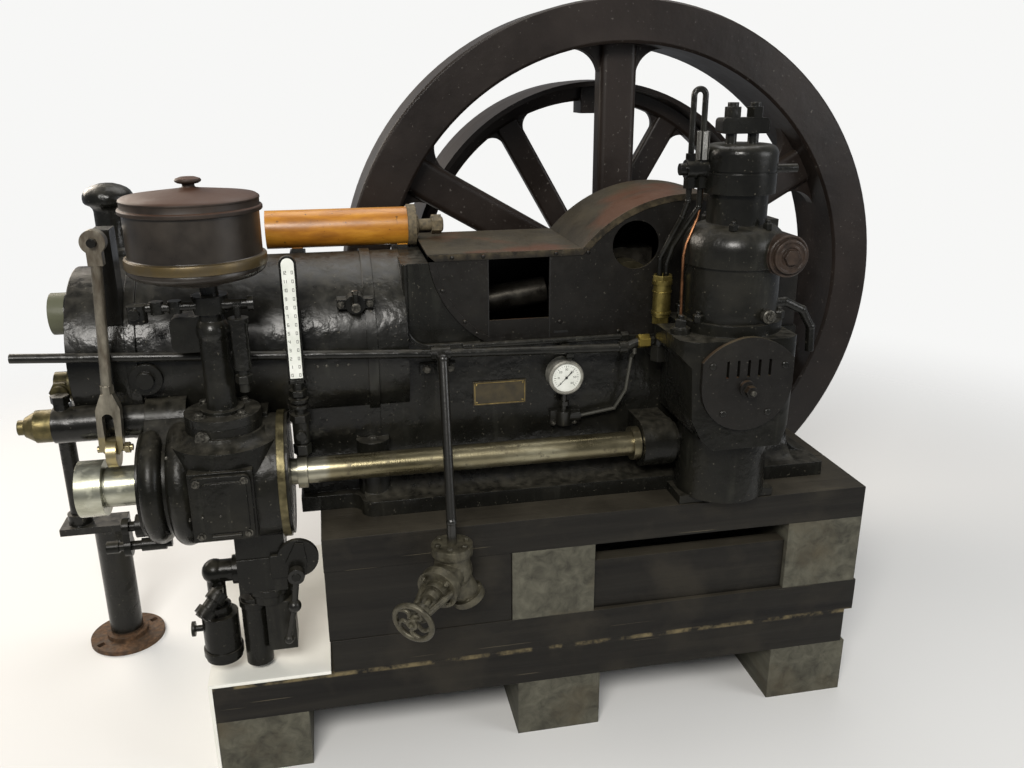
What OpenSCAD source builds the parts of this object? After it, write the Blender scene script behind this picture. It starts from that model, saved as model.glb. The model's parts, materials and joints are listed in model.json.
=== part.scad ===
// Stationary horizontal diesel engine with flywheel, belt pulley, governor,
// side shaft and air compressor, standing on a stack of timbers.
// Millimetres, +Z up. The origin is on the floor, under the middle floor sleeper.

/* [Main lines] */
// distance from the origin to the crankshaft axis, along the engine
crank_x = 380; // [360:5:400]
// height of the crankshaft and cylinder axis above the floor
axis_z = 1065; // [1062:1:1070]
// radius of the crank throw
throw_r = 190; // [180:2:192]
// length of the connecting rod between its two pins
rod_l = 950; // [940:5:970]

/* [Timber stack] */
// front face of the timbers
stack_front = -370; // [-380:2:-366]
// back face of the timbers
stack_back = 310; // [300:5:340]
// height of the floor sleepers
sleeper_h = 165; // [150:5:180]
// width of each floor sleeper
sleeper_w = 230; // [200:5:260]
// height of the lowest beams
lower_h = 105; // [90:5:120]
// height of the second row of beams
second_h = 95; // [85:5:110]
// height of the blocks and planks under the top beams
block_h = 200; // [180:5:220]
// height of the top beams
top_h = 90; // [80:5:100]
// thickness of the planks set on edge
plank_t = 45; // [35:5:60]
// gap between neighbouring beams
beam_gap = 4; // [2:1:8]
// left end of the lowest beams, from the crankshaft
lower_left = -1281; // [-1290:1:-1275]
// left end of the second and top beams, from the crankshaft
beam_left = -985; // [-1000:5:-980]
// right end of the top beams, from the crankshaft
beam_right = 480; // [470:5:500]
// thickness of the white board
board_t = 9; // [6:1:14]

/* [Bed] */
// half width of the bed between its side faces
bed_half = 178; // [176:1:182]
// half width of the foot
foot_half = 270; // [262:2:280]
// thickness of the foot
foot_h = 40; // [32:2:46]
// height of the bed top above the floor
bed_top = 1070; // [1066:1:1074]
// left end of the wide foot, from the crankshaft
foot_left = -880; // [-890:5:-870]
// right end of the foot, from the crankshaft
foot_right = 400; // [380:5:410]

/* [Cylinder] */
// outer radius of the water jacket
jacket_r = 225; // [222:1:228]
// radius of the cylinder bore
bore_r = 130; // [124:1:134]
// plane where the jacket meets the bed, from the crankshaft
jacket_right = -816; // [-820:1:-812]
// plane where the jacket meets the head, from the crankshaft
jacket_left = -1400; // [-1404:1:-1398]
// thickness of the cylinder head
head_t = 135; // [125:5:140]

/* [Crank hood] */
// half width of the sheet hood
hood_half = 170; // [168:1:174]
// thickness of the hood sheet
sheet_t = 6; // [4:1:8]
// radius of the round part of the hood about the crankshaft
hood_r = 372; // [366:2:380]
// height of the flat top of the hood
hood_top = 1306; // [1300:1:1312]
// diameter of the round hole in the near side
hole_d = 125; // [110:5:135]

/* [Flywheel] */
// outer radius
fly_r = 880; // [860:5:890]
// width of the rim
fly_w = 250; // [230:5:260]
// radial depth of the rim
fly_rim = 128; // [110:4:140]
// near face of the rim
fly_y = 360; // [355:5:370]
// width of each arm
fly_arm_w = 118; // [100:4:130]
// depth of each arm along the shaft
fly_arm_d = 84; // [70:2:100]
// radius of the hub
fly_hub_r = 150; // [140:5:165]
// radius of the fillet where an arm meets the rim
arm_fillet = 84; // [60:4:100]

/* [Belt pulley] */
// outer radius
pul_r = 648; // [630:2:656]
// width of the face
pul_w = 280; // [260:5:300]
// near face
pul_y = 650; // [645:5:660]
// width of each arm
pul_arm_w = 84; // [70:2:96]
// depth of each arm along the shaft
pul_arm_d = 46; // [40:2:60]

/* [Side shaft] */
// distance of the side shaft in front of the cylinder axis
side_y = 270; // [268:1:274]
// height of the side shaft above the floor
side_z = 800; // [796:1:806]
// radius of the side shaft
side_r = 32.5; // [30:0.5:34]
// radius of the cam drum
cam_r = 67; // [62:1:69]

/* [Drive housing and governor] */
// radius of the housing barrel
house_r = 150; // [146:1:152]
// radius of the machined rim on the barrel
house_rim_r = 156; // [153:1:160]
// radius of the governor column
column_r = 34; // [32:1:36]
// radius of the governor drum
drum_r = 143; // [138:1:150]
// height of the drum above its bronze ring
drum_h = 114; // [110:2:120]

/* [Fittings] */
// turn of the valve stem seen from above, from the +x direction
stem_turn = 235; // [228:1:242]
// angle of the valve stem below level
stem_tilt = 9; // [5:1:14]
// radius of the valve's handwheel
wheel_r = 55; // [48:1:60]
// radius of the inlet pipe
inlet_r = 43; // [38:1:45]
// radius of the pedestal tube
ped_r = 49; // [44:1:55]
// height of the pedestal tube above the floor
ped_h = 400; // [380:5:420]

/* [Compressor] */
// distance of the compressor axis in front of the cylinder axis
comp_y = 330; // [326:1:334]
// position of the compressor axis right of the crankshaft
comp_x = 56; // [50:1:60]
// radius of the low stage cylinder
low_r = 115; // [110:1:118]
// radius of the high stage head
high_r = 88; // [84:1:92]

/* [Fits] */
// radial clearance of a running fit
run = 0.05; // [0.02:0.01:0.1]
// clearance between curved faces of different pieces
seat = 0.3; // [0.2:0.05:0.5]

/* [Hidden] */
$fn = 64;
lower_z = sleeper_h;
second_z = lower_z + lower_h;
block_z = second_z + second_h;
top_z = block_z + block_h;
bed_z = top_z + top_h;
foot_top = bed_z + foot_h;
hood_left = -681;
curve_r = 292;
hood_right = 326;
pit_right = 296;
piston_l = 290;
piston_skirt = 130;
crown_gap = 30;
bore_left = piston_skirt - piston_l - rod_l - throw_r - crown_gap;
shank_l = rod_l - 205;
saddle_top = 1284;
main_r = 60;
pin_r = 55;
fly_in = fly_r - fly_rim;
side_front = -side_y;
head_left = jacket_left - head_t;
throw_a = 137;
pin_x = throw_r * cos(throw_a);
rise = throw_r * sin(throw_a);
pin_z = axis_z + rise;
wrist_x = pin_x - sqrt(rod_l * rod_l - rise * rise);
rod_angle = asin(rise / rod_l);
house_left = -1386;
house_right = -1045;
drum_l = 138;
drum_right = house_left - 8;
drum_left = drum_right - drum_l;
arm_left = -1370;
inlet_y = -208;
inlet_z = 943;
gov_x = -1206;
gov_y = -300;
col_x = -1188;

iron = [0.13, 0.14, 0.13];
wood = [0.45, 0.43, 0.38];
black_wood = [0.12, 0.11, 0.10];
steel = [0.62, 0.60, 0.56];
brass = [0.60, 0.48, 0.25];
wheel_paint = [0.22, 0.17, 0.15];

// shared shapes

module at_crank() { translate([crank_x, 0, 0]) children(); }

// a block between two opposite corners
module block(x0, x1, y0, y1, z0, z1) {
    translate([x0, y0, z0]) cube([x1 - x0, y1 - y0, z1 - z0]);
}

// round bars along each axis
module bar_x(r, x0, x1, y, z) {
    translate([x0, y, z]) rotate([0, 90, 0]) cylinder(r = r, h = x1 - x0);
}
module bar_y(r, y0, y1, x, z) {
    translate([x, y1, z]) rotate([90, 0, 0]) cylinder(r = r, h = y1 - y0);
}
module bar_z(r, z0, z1, x, y) {
    translate([x, y, z0]) cylinder(r = r, h = z1 - z0);
}

// a round bar from point a to point b
module bar_to(r, a, b) {
    d = b - a;
    l = norm(d);
    translate(a) rotate([0, acos(d[2] / l), atan2(d[1], d[0])]) cylinder(r = r, h = l);
}

// a bent tube through a list of points, with a round elbow at each inner point
module tube(r, pts) {
    for (i = [0 : len(pts) - 2]) bar_to(r, pts[i], pts[i + 1]);
    for (i = [1 : 1 : len(pts) - 2]) translate(pts[i]) sphere(r = r * 1.1, $fn = 24);
}

// a profile in the y and z directions, drawn along x
module along_x(x0, x1) {
    translate([x0, 0, 0]) rotate([90, 0, 90]) linear_extrude(x1 - x0) children();
}

// a profile in the x and z directions, drawn along y
module along_y(y0, y1) {
    translate([0, y1, 0]) rotate([90, 0, 0]) linear_extrude(y1 - y0) children();
}

// an inside corner fillet: corner point, radius, and the side it opens to
module corner_fillet(x, z, r, sx, sz) {
    difference() {
        translate([min(x, x + sx * r), min(z, z + sz * r)]) square(r);
        translate([x + sx * r, z + sz * r]) circle(r = r);
    }
}

module hex_y(af, y0, y1, x, z) {
    translate([x, y1, z]) rotate([90, 0, 0]) cylinder(r = af / sqrt(3), h = y1 - y0, $fn = 6);
}
module hex_z(af, z0, z1, x, y) {
    translate([x, y, z0]) cylinder(r = af / sqrt(3), h = z1 - z0, $fn = 6);
}
module hex_x(af, x0, x1, y, z) {
    translate([x0, y, z]) rotate([0, 90, 0]) cylinder(r = af / sqrt(3), h = x1 - x0, $fn = 6);
}

// timber stack

mid = -crank_x;
module beam_row(x0, x1, z0, h, edges) {
    for (e = edges) block(x0, x1, e[0], e[1], z0, z0 + h);
}

module grey_blocks() {
    color(wood) at_crank() {
        for (x = [lower_left + 1, mid - sleeper_w / 2, beam_right - sleeper_w - 5])
            block(x, x + sleeper_w, stack_front, stack_back, 0, sleeper_h);
        block(-510, -288, stack_front, stack_back, block_z, top_z);
        block(261, beam_right, stack_front, stack_back, block_z, top_z);
        block(-965, -760, stack_front + 60, stack_back - 60, block_z, top_z);
    }
}

third = (stack_back - stack_front) / 3;
row_edges = [for (i = [0 : 2]) [stack_front + i * third, stack_front + (i + 1) * third
    - (i < 2 ? beam_gap : 0)]];

module lower_beams() {
    color(black_wood) at_crank() beam_row(lower_left, beam_right - 17, lower_z, lower_h,
        row_edges);
}

module upper_beams() {
    color(black_wood) at_crank() {
        beam_row(beam_left + 7, beam_right + 7, second_z, second_h, row_edges);
        beam_row(beam_left, beam_right, top_z, top_h, row_edges);
    }
}

module side_planks() {
    color(black_wood) at_crank() {
        block(beam_left + 1, -512, stack_front + 2, stack_front + 2 + plank_t, block_z, top_z);
        block(-286, 259, stack_front + 14, stack_front + 14 + plank_t, block_z, top_z - 56);
        block(beam_left + 1, -512, stack_back - 2 - plank_t, stack_back - 2, block_z, top_z);
        block(-286, 259, stack_back - 14 - plank_t, stack_back - 14, block_z, top_z - 56);
    }
}

module cover_board() {
    color([0.85, 0.84, 0.80]) at_crank() {
        block(lower_left - board_t, beam_left - 1, stack_front, stack_back, second_z,
            second_z + board_t);
        block(lower_left - board_t, lower_left, stack_front, stack_back, 0, second_z);
    }
}

// bed

module foot_outline() {
    corner = 35;
    step_y = foot_half - 65;
    difference() {
        union() {
            translate([foot_left, -foot_half]) square([foot_right - foot_left, 2 * foot_half]);
            translate([-1031, -step_y]) square([1031 + foot_left + 1, 2 * step_y]);
            for (s = [-1, 1]) difference() {
                translate([foot_left - 30, s > 0 ? step_y : -step_y - 30]) square([31, 30]);
                translate([foot_left - 30, s * (step_y + 30)]) circle(r = 30);
            }
        }
        for (s = [-1, 1]) difference() {
            translate([foot_left - 1, s > 0 ? foot_half - corner : -foot_half - 1])
                square(corner + 1);
            translate([foot_left + corner, s * (foot_half - corner)]) circle(r = corner);
        }
    }
}

module flank_profile(top) {
    flare = 75;
    translate([-bed_half, bed_z]) square([2 * bed_half, top - bed_z]);
    for (s = [-1, 1]) corner_fillet(s * bed_half, foot_top, flare, s, 1);
}

module bed_frame() {
    pit_half = 150;
    pit_z = 770;
    rim_w = 42;
    color(iron) at_crank() difference() {
        union() {
            translate([0, 0, bed_z]) linear_extrude(foot_h) foot_outline();
            along_x(jacket_right, pit_right + 34) flank_profile(bed_top);
            along_x(foot_left + 10, jacket_right) flank_profile(side_z);
            along_x(-1025, jacket_right) translate([-bed_half, bed_z])
                square([2 * bed_half, side_z - bed_z]);
            along_y(-bed_half, bed_half) corner_fillet(pit_right + 34, foot_top, 60, 1, 1);
            // head wall that the jacket is bolted to, with the curved saddle
            along_x(jacket_right, jacket_right + 76) {
                translate([0, axis_z]) circle(r = jacket_r);
                translate([-bed_half, bed_top - 60]) square([2 * bed_half, 60]);
            }
            along_y(-bed_half, bed_half)
                corner_fillet(jacket_right + 76, bed_top, 52, 1, 1);
            along_y(-bed_half + 13, bed_half - 13) difference() {
                translate([jacket_right + 70, bed_top - 5])
                    square([hood_left + 156 - jacket_right - 70, saddle_top - bed_top + 5]);
                hood_outline(seat);
            }
            // foundation bolt bosses
            for (s = [-1, 1]) bar_z(42, foot_top, 840, -840, s * (bed_half + 10));
            // bearing blocks cast in the side walls
            for (s = [-1, 1]) block(-110, 110, s > 0 ? 112 : -160, s > 0 ? 160 : -112,
                pit_z - 20, bed_top);
        }
        // crank pit between the side walls
        difference() {
            block(-560, pit_right, -pit_half, pit_half, pit_z, bed_top + 1);
            for (s = [-1, 1]) block(-110, 110, s > 0 ? 112 : -pit_half - 1,
                s > 0 ? pit_half + 1 : -112, pit_z - 1, bed_top + 2);
        }
        // passage for the connecting rod, open above
        bar_x(bore_r + 1, jacket_right - 1, -500, 0, axis_z);
        // seats of the main bearings and the way out for the shaft
        for (s = [-1, 1]) block(-80, 80, s > 0 ? 115 : -160, s > 0 ? 160 : -115, 960, bed_top + 1);
        block(-66, 66, 111, bed_half + 1, axis_z - 66, bed_top + 1);
        block(-66, 66, -116, -111, axis_z - 66, bed_top + 1);
    }
}

// cylinder

module jacket_profile() {
    translate([0, axis_z]) circle(r = jacket_r);
    translate([-bed_half, side_z]) square([2 * bed_half, axis_z - side_z]);
}

module cylinder_jacket() {
    color(iron) at_crank() difference() {
        union() {
            bar_x(jacket_r, jacket_left, jacket_right, 0, axis_z);
            along_x(-1031, jacket_right) jacket_profile();
            bar_x(jacket_r + 8, jacket_left, jacket_left + 24, 0, axis_z);
            bar_x(jacket_r + 6, jacket_right - 26, jacket_right, 0, axis_z);
            // feet for the lubricator
            block(-1020, -980, 55, 115, 1200, saddle_top);
            // round cap near the head
            bar_y(38, -237, -150, -1361, 1050);
            bar_y(20, -250, -236, -1361, 1050);
            // cock on a two-bolt flange
            bar_y(24, -214, -120, -864, 1200);
            block(-908, -820, -207, -120, 1188, 1212);
            bar_y(9, -246, -213, -864, 1200);
            bar_z(7, 1200, 1232, -864, -236);
        }
        bar_x(bore_r, bore_left, jacket_right + 1, 0, axis_z);
        bar_x(inlet_r + seat, jacket_left - 1, arm_left, inlet_y, inlet_z);
        for (s = [-1, 1]) bar_z(42 + seat, side_z - 1, 841, -840, s * (bed_half + 10));
    }
}

module cylinder_head() {
    color(iron) at_crank() difference() {
        union() {
            bar_x(jacket_r + 8, jacket_left - 34, jacket_left, 0, axis_z);
            bar_x(jacket_r - 12, head_left, jacket_left, 0, axis_z);
            bar_x(50, head_left - 38, head_left, -110, 1190);
            bar_x(60, head_left - 45, head_left, 90, 1100);
            // union at the lower front
            bar_x(44, head_left - 18, head_left, -128, 1020);
            bar_x(30, head_left - 52, head_left - 17, -128, 1020);
            bar_y(19, -184, -128, head_left - 34, 1012);
            hex_y(46, -172, -152, head_left - 34, 1012);
            // valve rocker post and its pin
            block(-1440, -1400, -210, -150, 1180, 1400);
            bar_y(9.9, -300, -200, -1420, 1385);
            // seat for the air inlet pot
            bar_z(48, 1180, 1300, -1450, 60);
        }
        bar_x(18, head_left - 39, head_left - 20, -110, 1190);
        bar_x(inlet_r + seat, head_left - 1, jacket_left + 1, inlet_y, inlet_z);
    }
}

module intake_pot() {
    color(iron) at_crank() translate([-1450, 60, 1300]) rotate_extrude()
        polygon([[0, 0], [48, 0], [48, 14], [38, 20], [38, 110], [44, 122], [58, 130],
            [58, 148], [44, 166], [18, 176], [0, 178]]);
}

// hood

// outline of the hood seen from the side, grown by a margin
module hood_outline(m) {
    intersection() {
        translate([0, axis_z]) circle(r = hood_r + m, $fn = 128);
        translate([-hood_r, bed_top]) square([hood_r + hood_right, hood_r + 50]);
    }
    // the lower left corner is one wide curve
    intersection() {
        translate([hood_left - m, bed_top - m]) square([-285 - hood_left + m, hood_top - bed_top + m]);
        union() {
            translate([hood_left + curve_r, hood_top + 19]) circle(r = curve_r + m, $fn = 128);
            translate([hood_left + curve_r, bed_top - m]) square([200, 300]);
        }
    }
}

module crank_hood() {
    color(iron) at_crank() difference() {
        along_y(-hood_half, hood_half) hood_outline(0);
        // the sheet is open below and towards the cylinder
        along_y(-hood_half + sheet_t, hood_half - sheet_t) {
            intersection() {
                translate([0, axis_z]) circle(r = hood_r - sheet_t, $fn = 128);
                translate([-hood_r, bed_top - 1]) square([hood_r + hood_right - sheet_t, hood_r]);
            }
            translate([hood_left - 1, bed_top - 1])
                square([-284 - hood_left, hood_top - bed_top - sheet_t + 1]);
        }
        // window and round hole in the near side
        block(-527, -370, -hood_half - 1, -hood_half + sheet_t + 1, 1130, hood_top - sheet_t);
        bar_y(hole_d / 2, -hood_half - 1, -hood_half + sheet_t + 1, -140, 1310);
        // way out for the shaft on the far side
        bar_y(main_r + 6, hood_half - sheet_t - 1, hood_half + 1, 0, axis_z);
    }
}

// running gear

module piston() {
    color(steel) at_crank() difference() {
        bar_x(bore_r - 0.1, wrist_x + piston_skirt - piston_l, wrist_x + piston_skirt, 0, axis_z);
        block(wrist_x - 70, wrist_x + piston_skirt + 1, -60, 60, axis_z - 95, axis_z + 95);
        bar_y(22 + run, -100, 100, wrist_x, axis_z);
    }
}

module connecting_rod() {
    color(steel) at_crank() translate([wrist_x, 0, axis_z]) rotate([0, -rod_angle, 0]) {
        bar_y(52, -57, 57, 0, 0);
        bar_y(22, -98, 98, 0, 0);
        bar_x(36, 0, shank_l, 0, 0);
    }
}

module big_end() {
    // the big end bearing with its cap bolts, carried by the crank pin
    color(steel) at_crank() difference() {
        union() {
            bar_y(88, -48, 48, pin_x, pin_z);
            block(pin_x - 100, pin_x + 90, -44, 44, pin_z - 84, pin_z + 84);
        }
        bar_y(pin_r + run, -49, 49, pin_x, pin_z);
    }
}

module crankshaft() {
    color(steel) at_crank() {
        bar_y(main_r, -158, -104, 0, axis_z);
        bar_y(main_r, 104, 965, 0, axis_z);
        bar_y(pin_r, -52, 52, pin_x, pin_z);
        for (s = [-1, 1]) along_y(s > 0 ? 52 : -106, s > 0 ? 106 : -52)
            translate([0, axis_z]) rotate(throw_a - 90) {
                circle(r = 92);
                translate([0, throw_r - 8]) circle(r = 66);
                translate([-66, 0]) square([132, throw_r - 8]);
            }
    }
}

module main_bearings() {
    color(iron) at_crank() for (s = [-1, 1]) difference() {
        block(-79, 79, s > 0 ? 115 : -160, s > 0 ? 160 : -115, 960, 1160);
        bar_y(main_r + run, -161, 161, 0, axis_z);
    }
}

// fillet between an arm side and a round wall; out: 1 at the rim, -1 at the hub
module root_fillet(wall_r, half_w, f, out) {
    // the round cuts a little into both walls, so that no edge is only tangent
    cut = 1.5;
    yc = half_w + f - cut;
    rc = out > 0 ? wall_r - f + cut : wall_r + f - cut;
    xc = sqrt(rc * rc - yc * yc);
    a = atan2(yc, xc);
    k = sqrt(wall_r * wall_r - half_w * half_w);
    difference() {
        polygon([[xc, half_w - 1], [k + out * 3, half_w - 1], [k + out * 3, half_w],
            [(wall_r + out * 3) * cos(a), (wall_r + out * 3) * sin(a)], [xc, yc]]);
        translate([xc, yc]) circle(r = f);
    }
}

// one arm lying along +x, from the hub to the rim, with rounded long edges
module wheel_arm(r0, r1, w, d, f_rim, f_hub) {
    e = d / 4;
    linear_extrude(d / 2, center = true) {
        translate([r0 - 6, -w / 2]) square([r1 - r0 + 12, w]);
        for (m = [0, 1]) mirror([0, m]) {
            root_fillet(r1, w / 2, f_rim, 1);
            root_fillet(r0, w / 2, f_hub, -1);
        }
    }
    translate([r0 - 6, 0, 0]) rotate([90, 0, 90]) linear_extrude(r1 - r0 + 12) {
        square([w - 2 * e, d], center = true);
        square([w, d - 2 * e], center = true);
        for (sy = [-1, 1], sz = [-1, 1]) translate([sy * (w / 2 - e), sz * (d / 2 - e)])
            circle(r = e);
    }
}

module flywheel() {
    arm_y = fly_y + fly_w / 2;
    color(wheel_paint) at_crank() translate([0, arm_y, axis_z]) rotate([90, 0, 0])
        difference() {
            union() {
                rotate_extrude($fn = 128) polygon([
                    [fly_in, -fly_w / 2 + 8], [fly_in + 8, -fly_w / 2], [fly_r - 6, -fly_w / 2],
                    [fly_r, -fly_w / 2 + 6], [fly_r, fly_w / 2 - 6], [fly_r - 6, fly_w / 2],
                    [fly_in + 8, fly_w / 2], [fly_in, fly_w / 2 - 8]]);
                cylinder(r = fly_hub_r, h = fly_w + 30, center = true);
                for (i = [0 : 5]) rotate([0, 0, 30 + 60 * i])
                    wheel_arm(fly_hub_r, fly_in, fly_arm_w, fly_arm_d, arm_fillet, 40);
            }
            cylinder(r = main_r, h = fly_w + 40, center = true);
        }
}

module belt_pulley() {
    mid_y = pul_y + pul_w / 2;
    rim_t = 20;
    rib_r = pul_r - 68;
    color(wheel_paint) at_crank() translate([0, mid_y, axis_z]) rotate([90, 0, 0])
        difference() {
            union() {
                rotate_extrude($fn = 128) polygon([
                    [pul_r - rim_t, -pul_w / 2], [pul_r - 4, -pul_w / 2],
                    [pul_r, 0], [pul_r - 4, pul_w / 2], [pul_r - rim_t, pul_w / 2],
                    [pul_r - rim_t, 36], [rib_r + 10, 30], [rib_r, 22],
                    [rib_r, -22], [rib_r + 10, -30], [pul_r - rim_t, -36]]);
                cylinder(r = 125, h = pul_w - 10, center = true);
                for (i = [0 : 5]) rotate([0, 0, 60 * i])
                    wheel_arm(125, rib_r, pul_arm_w, pul_arm_d, 50, 30);
                // bolted lugs where the two halves meet
                for (a = [120, 300]) rotate([0, 0, a - 30])
                    translate([pul_r - 110, -38, -48]) cube([92, 76, 96]);
            }
            cylinder(r = main_r, h = pul_w + 40, center = true);
        }
}

// side shaft

module side_shaft() {
    color(steel) at_crank() {
        bar_x(side_r, drum_right, -118, side_front, side_z);
        bar_x(side_r + 10, -1030, -1006, side_front, side_z);
        bar_x(side_r + 12, -170, -150, side_front, side_z);
    }
}

module shaft_bearing() {
    color(iron) at_crank() difference() {
        union() {
            bar_x(62, -148, -60, side_front, side_z);
            block(-146, -62, side_front, -bed_half, side_z - 26, side_z + 60);
            bar_x(50, -60, -48, side_front, side_z);
        }
        bar_x(side_r + run, -149, -110, side_front, side_z);
    }
}

module cam_drum() {
    color(steel) at_crank() difference() {
        union() {
            bar_x(cam_r, drum_left, drum_left + 58, side_front, side_z);
            bar_x(cam_r - 22, drum_left + 57, drum_left + 63, side_front, side_z);
            bar_x(cam_r - 19, drum_left + 62, drum_right, side_front, side_z);
        }
        bar_x(side_r - 10, drum_left - 1, drum_left + 8, side_front, side_z);
    }
}

// half outline of the drive housing, turned about the side shaft
module house_profile() {
    square([house_r, house_right - 30 + 1262]);
    translate([0, -124]) square([house_r - 24, 125]);
    // two round swellings at the left end
    translate([house_r - 24, -28]) circle(r = 30);
    translate([house_r - 31, -92]) circle(r = 27);
    translate([0, house_right - 30 + 1262 - 1]) square([house_rim_r - 6, 31]);
    translate([0, house_right - 30 + 1262 + 5]) square([house_rim_r, 18]);
}

module pump_housing() {
    color(iron) at_crank() difference() {
        union() {
            translate([-1262, side_front, side_z]) rotate([0, 90, 0]) rotate_extrude() house_profile();
            // front box under the square cover
            block(cover_x0 - 5, cover_x1 + 5, -436, side_front, cover_z0 - 5, cover_z1 + 6);
            // flared neck under the governor column
            translate([col_x, gov_y, 0]) rotate_extrude() difference() {
                translate([0, side_z]) square([128, 965 - side_z]);
                translate([132, 968]) circle(r = 45);
                translate([87, 945]) square([50, 30]);
            }
            // arm that curves up to the inlet pipe
            along_x(arm_left, -1277) {
                translate([inlet_y - 8, inlet_z]) circle(r = 55);
                polygon([[-352, 820], [-330, 905], [-275, inlet_z + 20], [inlet_y, inlet_z],
                    [-170, 820]]);
            }
            // bracket that is shaped to the jacket
            block(-1300, -1090, side_front, -130, 740, 960);
            // base for the pump
            block(-1190, -1074, -349, -220, 612, 720);
            // spool, yoke and spring rod of the hand control at the lower left
            bar_x(28, house_left - 28, house_left, -300, 706);
            bar_x(12, -1447, house_left - 27, -300, 706);
            along_x(-1446, -1430) {
                translate([-300, 706]) circle(r = 21);
                translate([-318, 655]) square([36, 51]);
                translate([-300, 655]) circle(r = 24);
            }
            bar_x(11, -1488, -1339, -300, 655);
            bar_x(15, -1488, -1460, -300, 655);
            bar_x(16, -1408, -1352, -300, 655);
        }
        bar_x(side_r + run, house_left - 30, house_right + 1, side_front, side_z);
        bar_x(jacket_r + seat, -1410, -1040, 0, axis_z);
    }
}

// plate in the x and z directions with rounded corners
module round_plate(x0, x1, z0, z1, r) {
    translate([x0 + r, z0]) square([x1 - x0 - 2 * r, z1 - z0]);
    translate([x0, z0 + r]) square([x1 - x0, z1 - z0 - 2 * r]);
    for (x = [x0 + r, x1 - r], z = [z0 + r, z1 - r]) translate([x, z]) circle(r = r);
}

cover_x0 = -1259;
cover_x1 = -1127;
cover_z0 = 720;
cover_z1 = 878;
module housing_cover() {
    color(iron) at_crank() {
        along_y(-446, -436) round_plate(cover_x0, cover_x1, cover_z0, cover_z1, 16);
        along_y(-451, -445) round_plate(cover_x0 + 24, cover_x1 - 10, cover_z0 + 22,
            cover_z1 - 14, 12);
        bar_x(5, cover_x0 + 38, cover_x1 - 30, -449, cover_z0 + 12);
    }
}

// injection pump

module fuel_pump() {
    color(iron) at_crank() {
        block(-1190, -1074, -352, -245, 520, 612);
        bar_z(57, 504, 521, -1122, -300);
        bar_z(50, 478, 505, -1122, -300);
        // right barrel and the block beside it
        bar_z(34, 296, 490, -1163, -300);
        bar_z(38, 462, 479, -1163, -300);
        block(-1134, -1064, -340, -262, 342, 479);
        // left barrel with its collar, and the elbow that feeds it
        bar_z(45, 318, 446, -1250, -300);
        bar_z(49, 330, 348, -1250, -300);
        bar_z(30, 440, 470, -1250, -300);
        bar_z(22, 460, 565, -1250, -300);
        translate([-1250, -300, 563]) sphere(r = 31);
        bar_x(28, -1250, -1189, -300, 563);
        bar_x(36, -1206, -1189, -300, 563);
        bar_x(8, -1316, -1290, -300, 405);
        bar_x(19, -1321, -1313, -300, 405);
        // union that points to the lower left
        bar_to(17, [-1240, -330, 520], [-1283, -372, 478]);
        bar_to(24, [-1240, -330, 520], [-1255, -345, 505]);
        bar_to(24, [-1268, -358, 492], [-1280, -369, 481]);
        block(-1252, -1232, -335, -300, 510, 530);
        // quadrant plate of the regulating lever
        along_y(-362, -350) {
            translate([-1044, 608]) circle(r = 50);
            translate([-1110, 560]) square([66, 60]);
        }
        along_y(-366, -361) polygon([[-1074, 600], [-1048, 652], [-1028, 648], [-1022, 600],
            [-1031, 556], [-1045, 547], [-1064, 560]]);
        bar_y(10, -392, -361, lever_x, lever_z);
        block(-1112, -1074, -361, -300, 560, 612);
    }
}

lever_x = -1050;
lever_y = -380;
lever_z = 573;
module regulating_lever() {
    ball = [-1061, lever_y, 489];
    color(iron) at_crank() difference() {
        union() {
            bar_y(20, lever_y - 11, lever_y + 12, lever_x, lever_z);
            bar_to(8, [lever_x - 2, lever_y, lever_z - 14], ball);
            bar_to(7, ball, [-1080, lever_y, 402]);
            translate(ball) sphere(r = 17);
            translate([-1081, lever_y, 396]) sphere(r = 12);
        }
        bar_y(10 + run, lever_y - 20, lever_y + 30, lever_x, lever_z);
    }
}

// governor

module governor_column() {
    color(iron) at_crank() {
        bar_z(87, 965, 986, col_x, gov_y);
        bar_z(column_r + 16, 985, 994, col_x, gov_y);
        bar_z(column_r, 993, 1170, col_x, gov_y);
        translate([col_x, gov_y, 1178]) sphere(r = column_r + 4);
        bar_z(column_r - 6, 1190, 1222, col_x, gov_y);
        bar_z(column_r - 14, 1221, 1290, col_x, gov_y);
        // small case behind the column
        along_y(-300, -236) round_plate(-1282, col_x, 1128, 1212, 18);
    }
}

module governor_drum() {
    color(iron) at_crank() translate([gov_x, gov_y, 0]) rotate_extrude() {
        polygon([[0, 1290], [62, 1290], [70, 1300], [drum_r - 30, 1308], [drum_r - 8, 1318],
            [drum_r + 2, 1322], [drum_r + 2, 1350], [drum_r, 1354],
            [drum_r, 1335 + drum_h], [0, 1335 + drum_h]]);
        // ring around the foot of the drum
        translate([drum_r - 1, 1336]) circle(r = 9, $fn = 24);
    }
}

module governor_lid() {
    z = 1335 + drum_h;
    color([0.30, 0.22, 0.17]) at_crank() translate([gov_x, gov_y, z]) rotate_extrude()
        polygon([[0, 0], [drum_r + 8, 0], [drum_r + 8, 12], [drum_r, 18], [40, 34],
            [14, 36], [12, 44], [26, 48], [28, 56], [16, 62], [0, 64]]);
}

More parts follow.
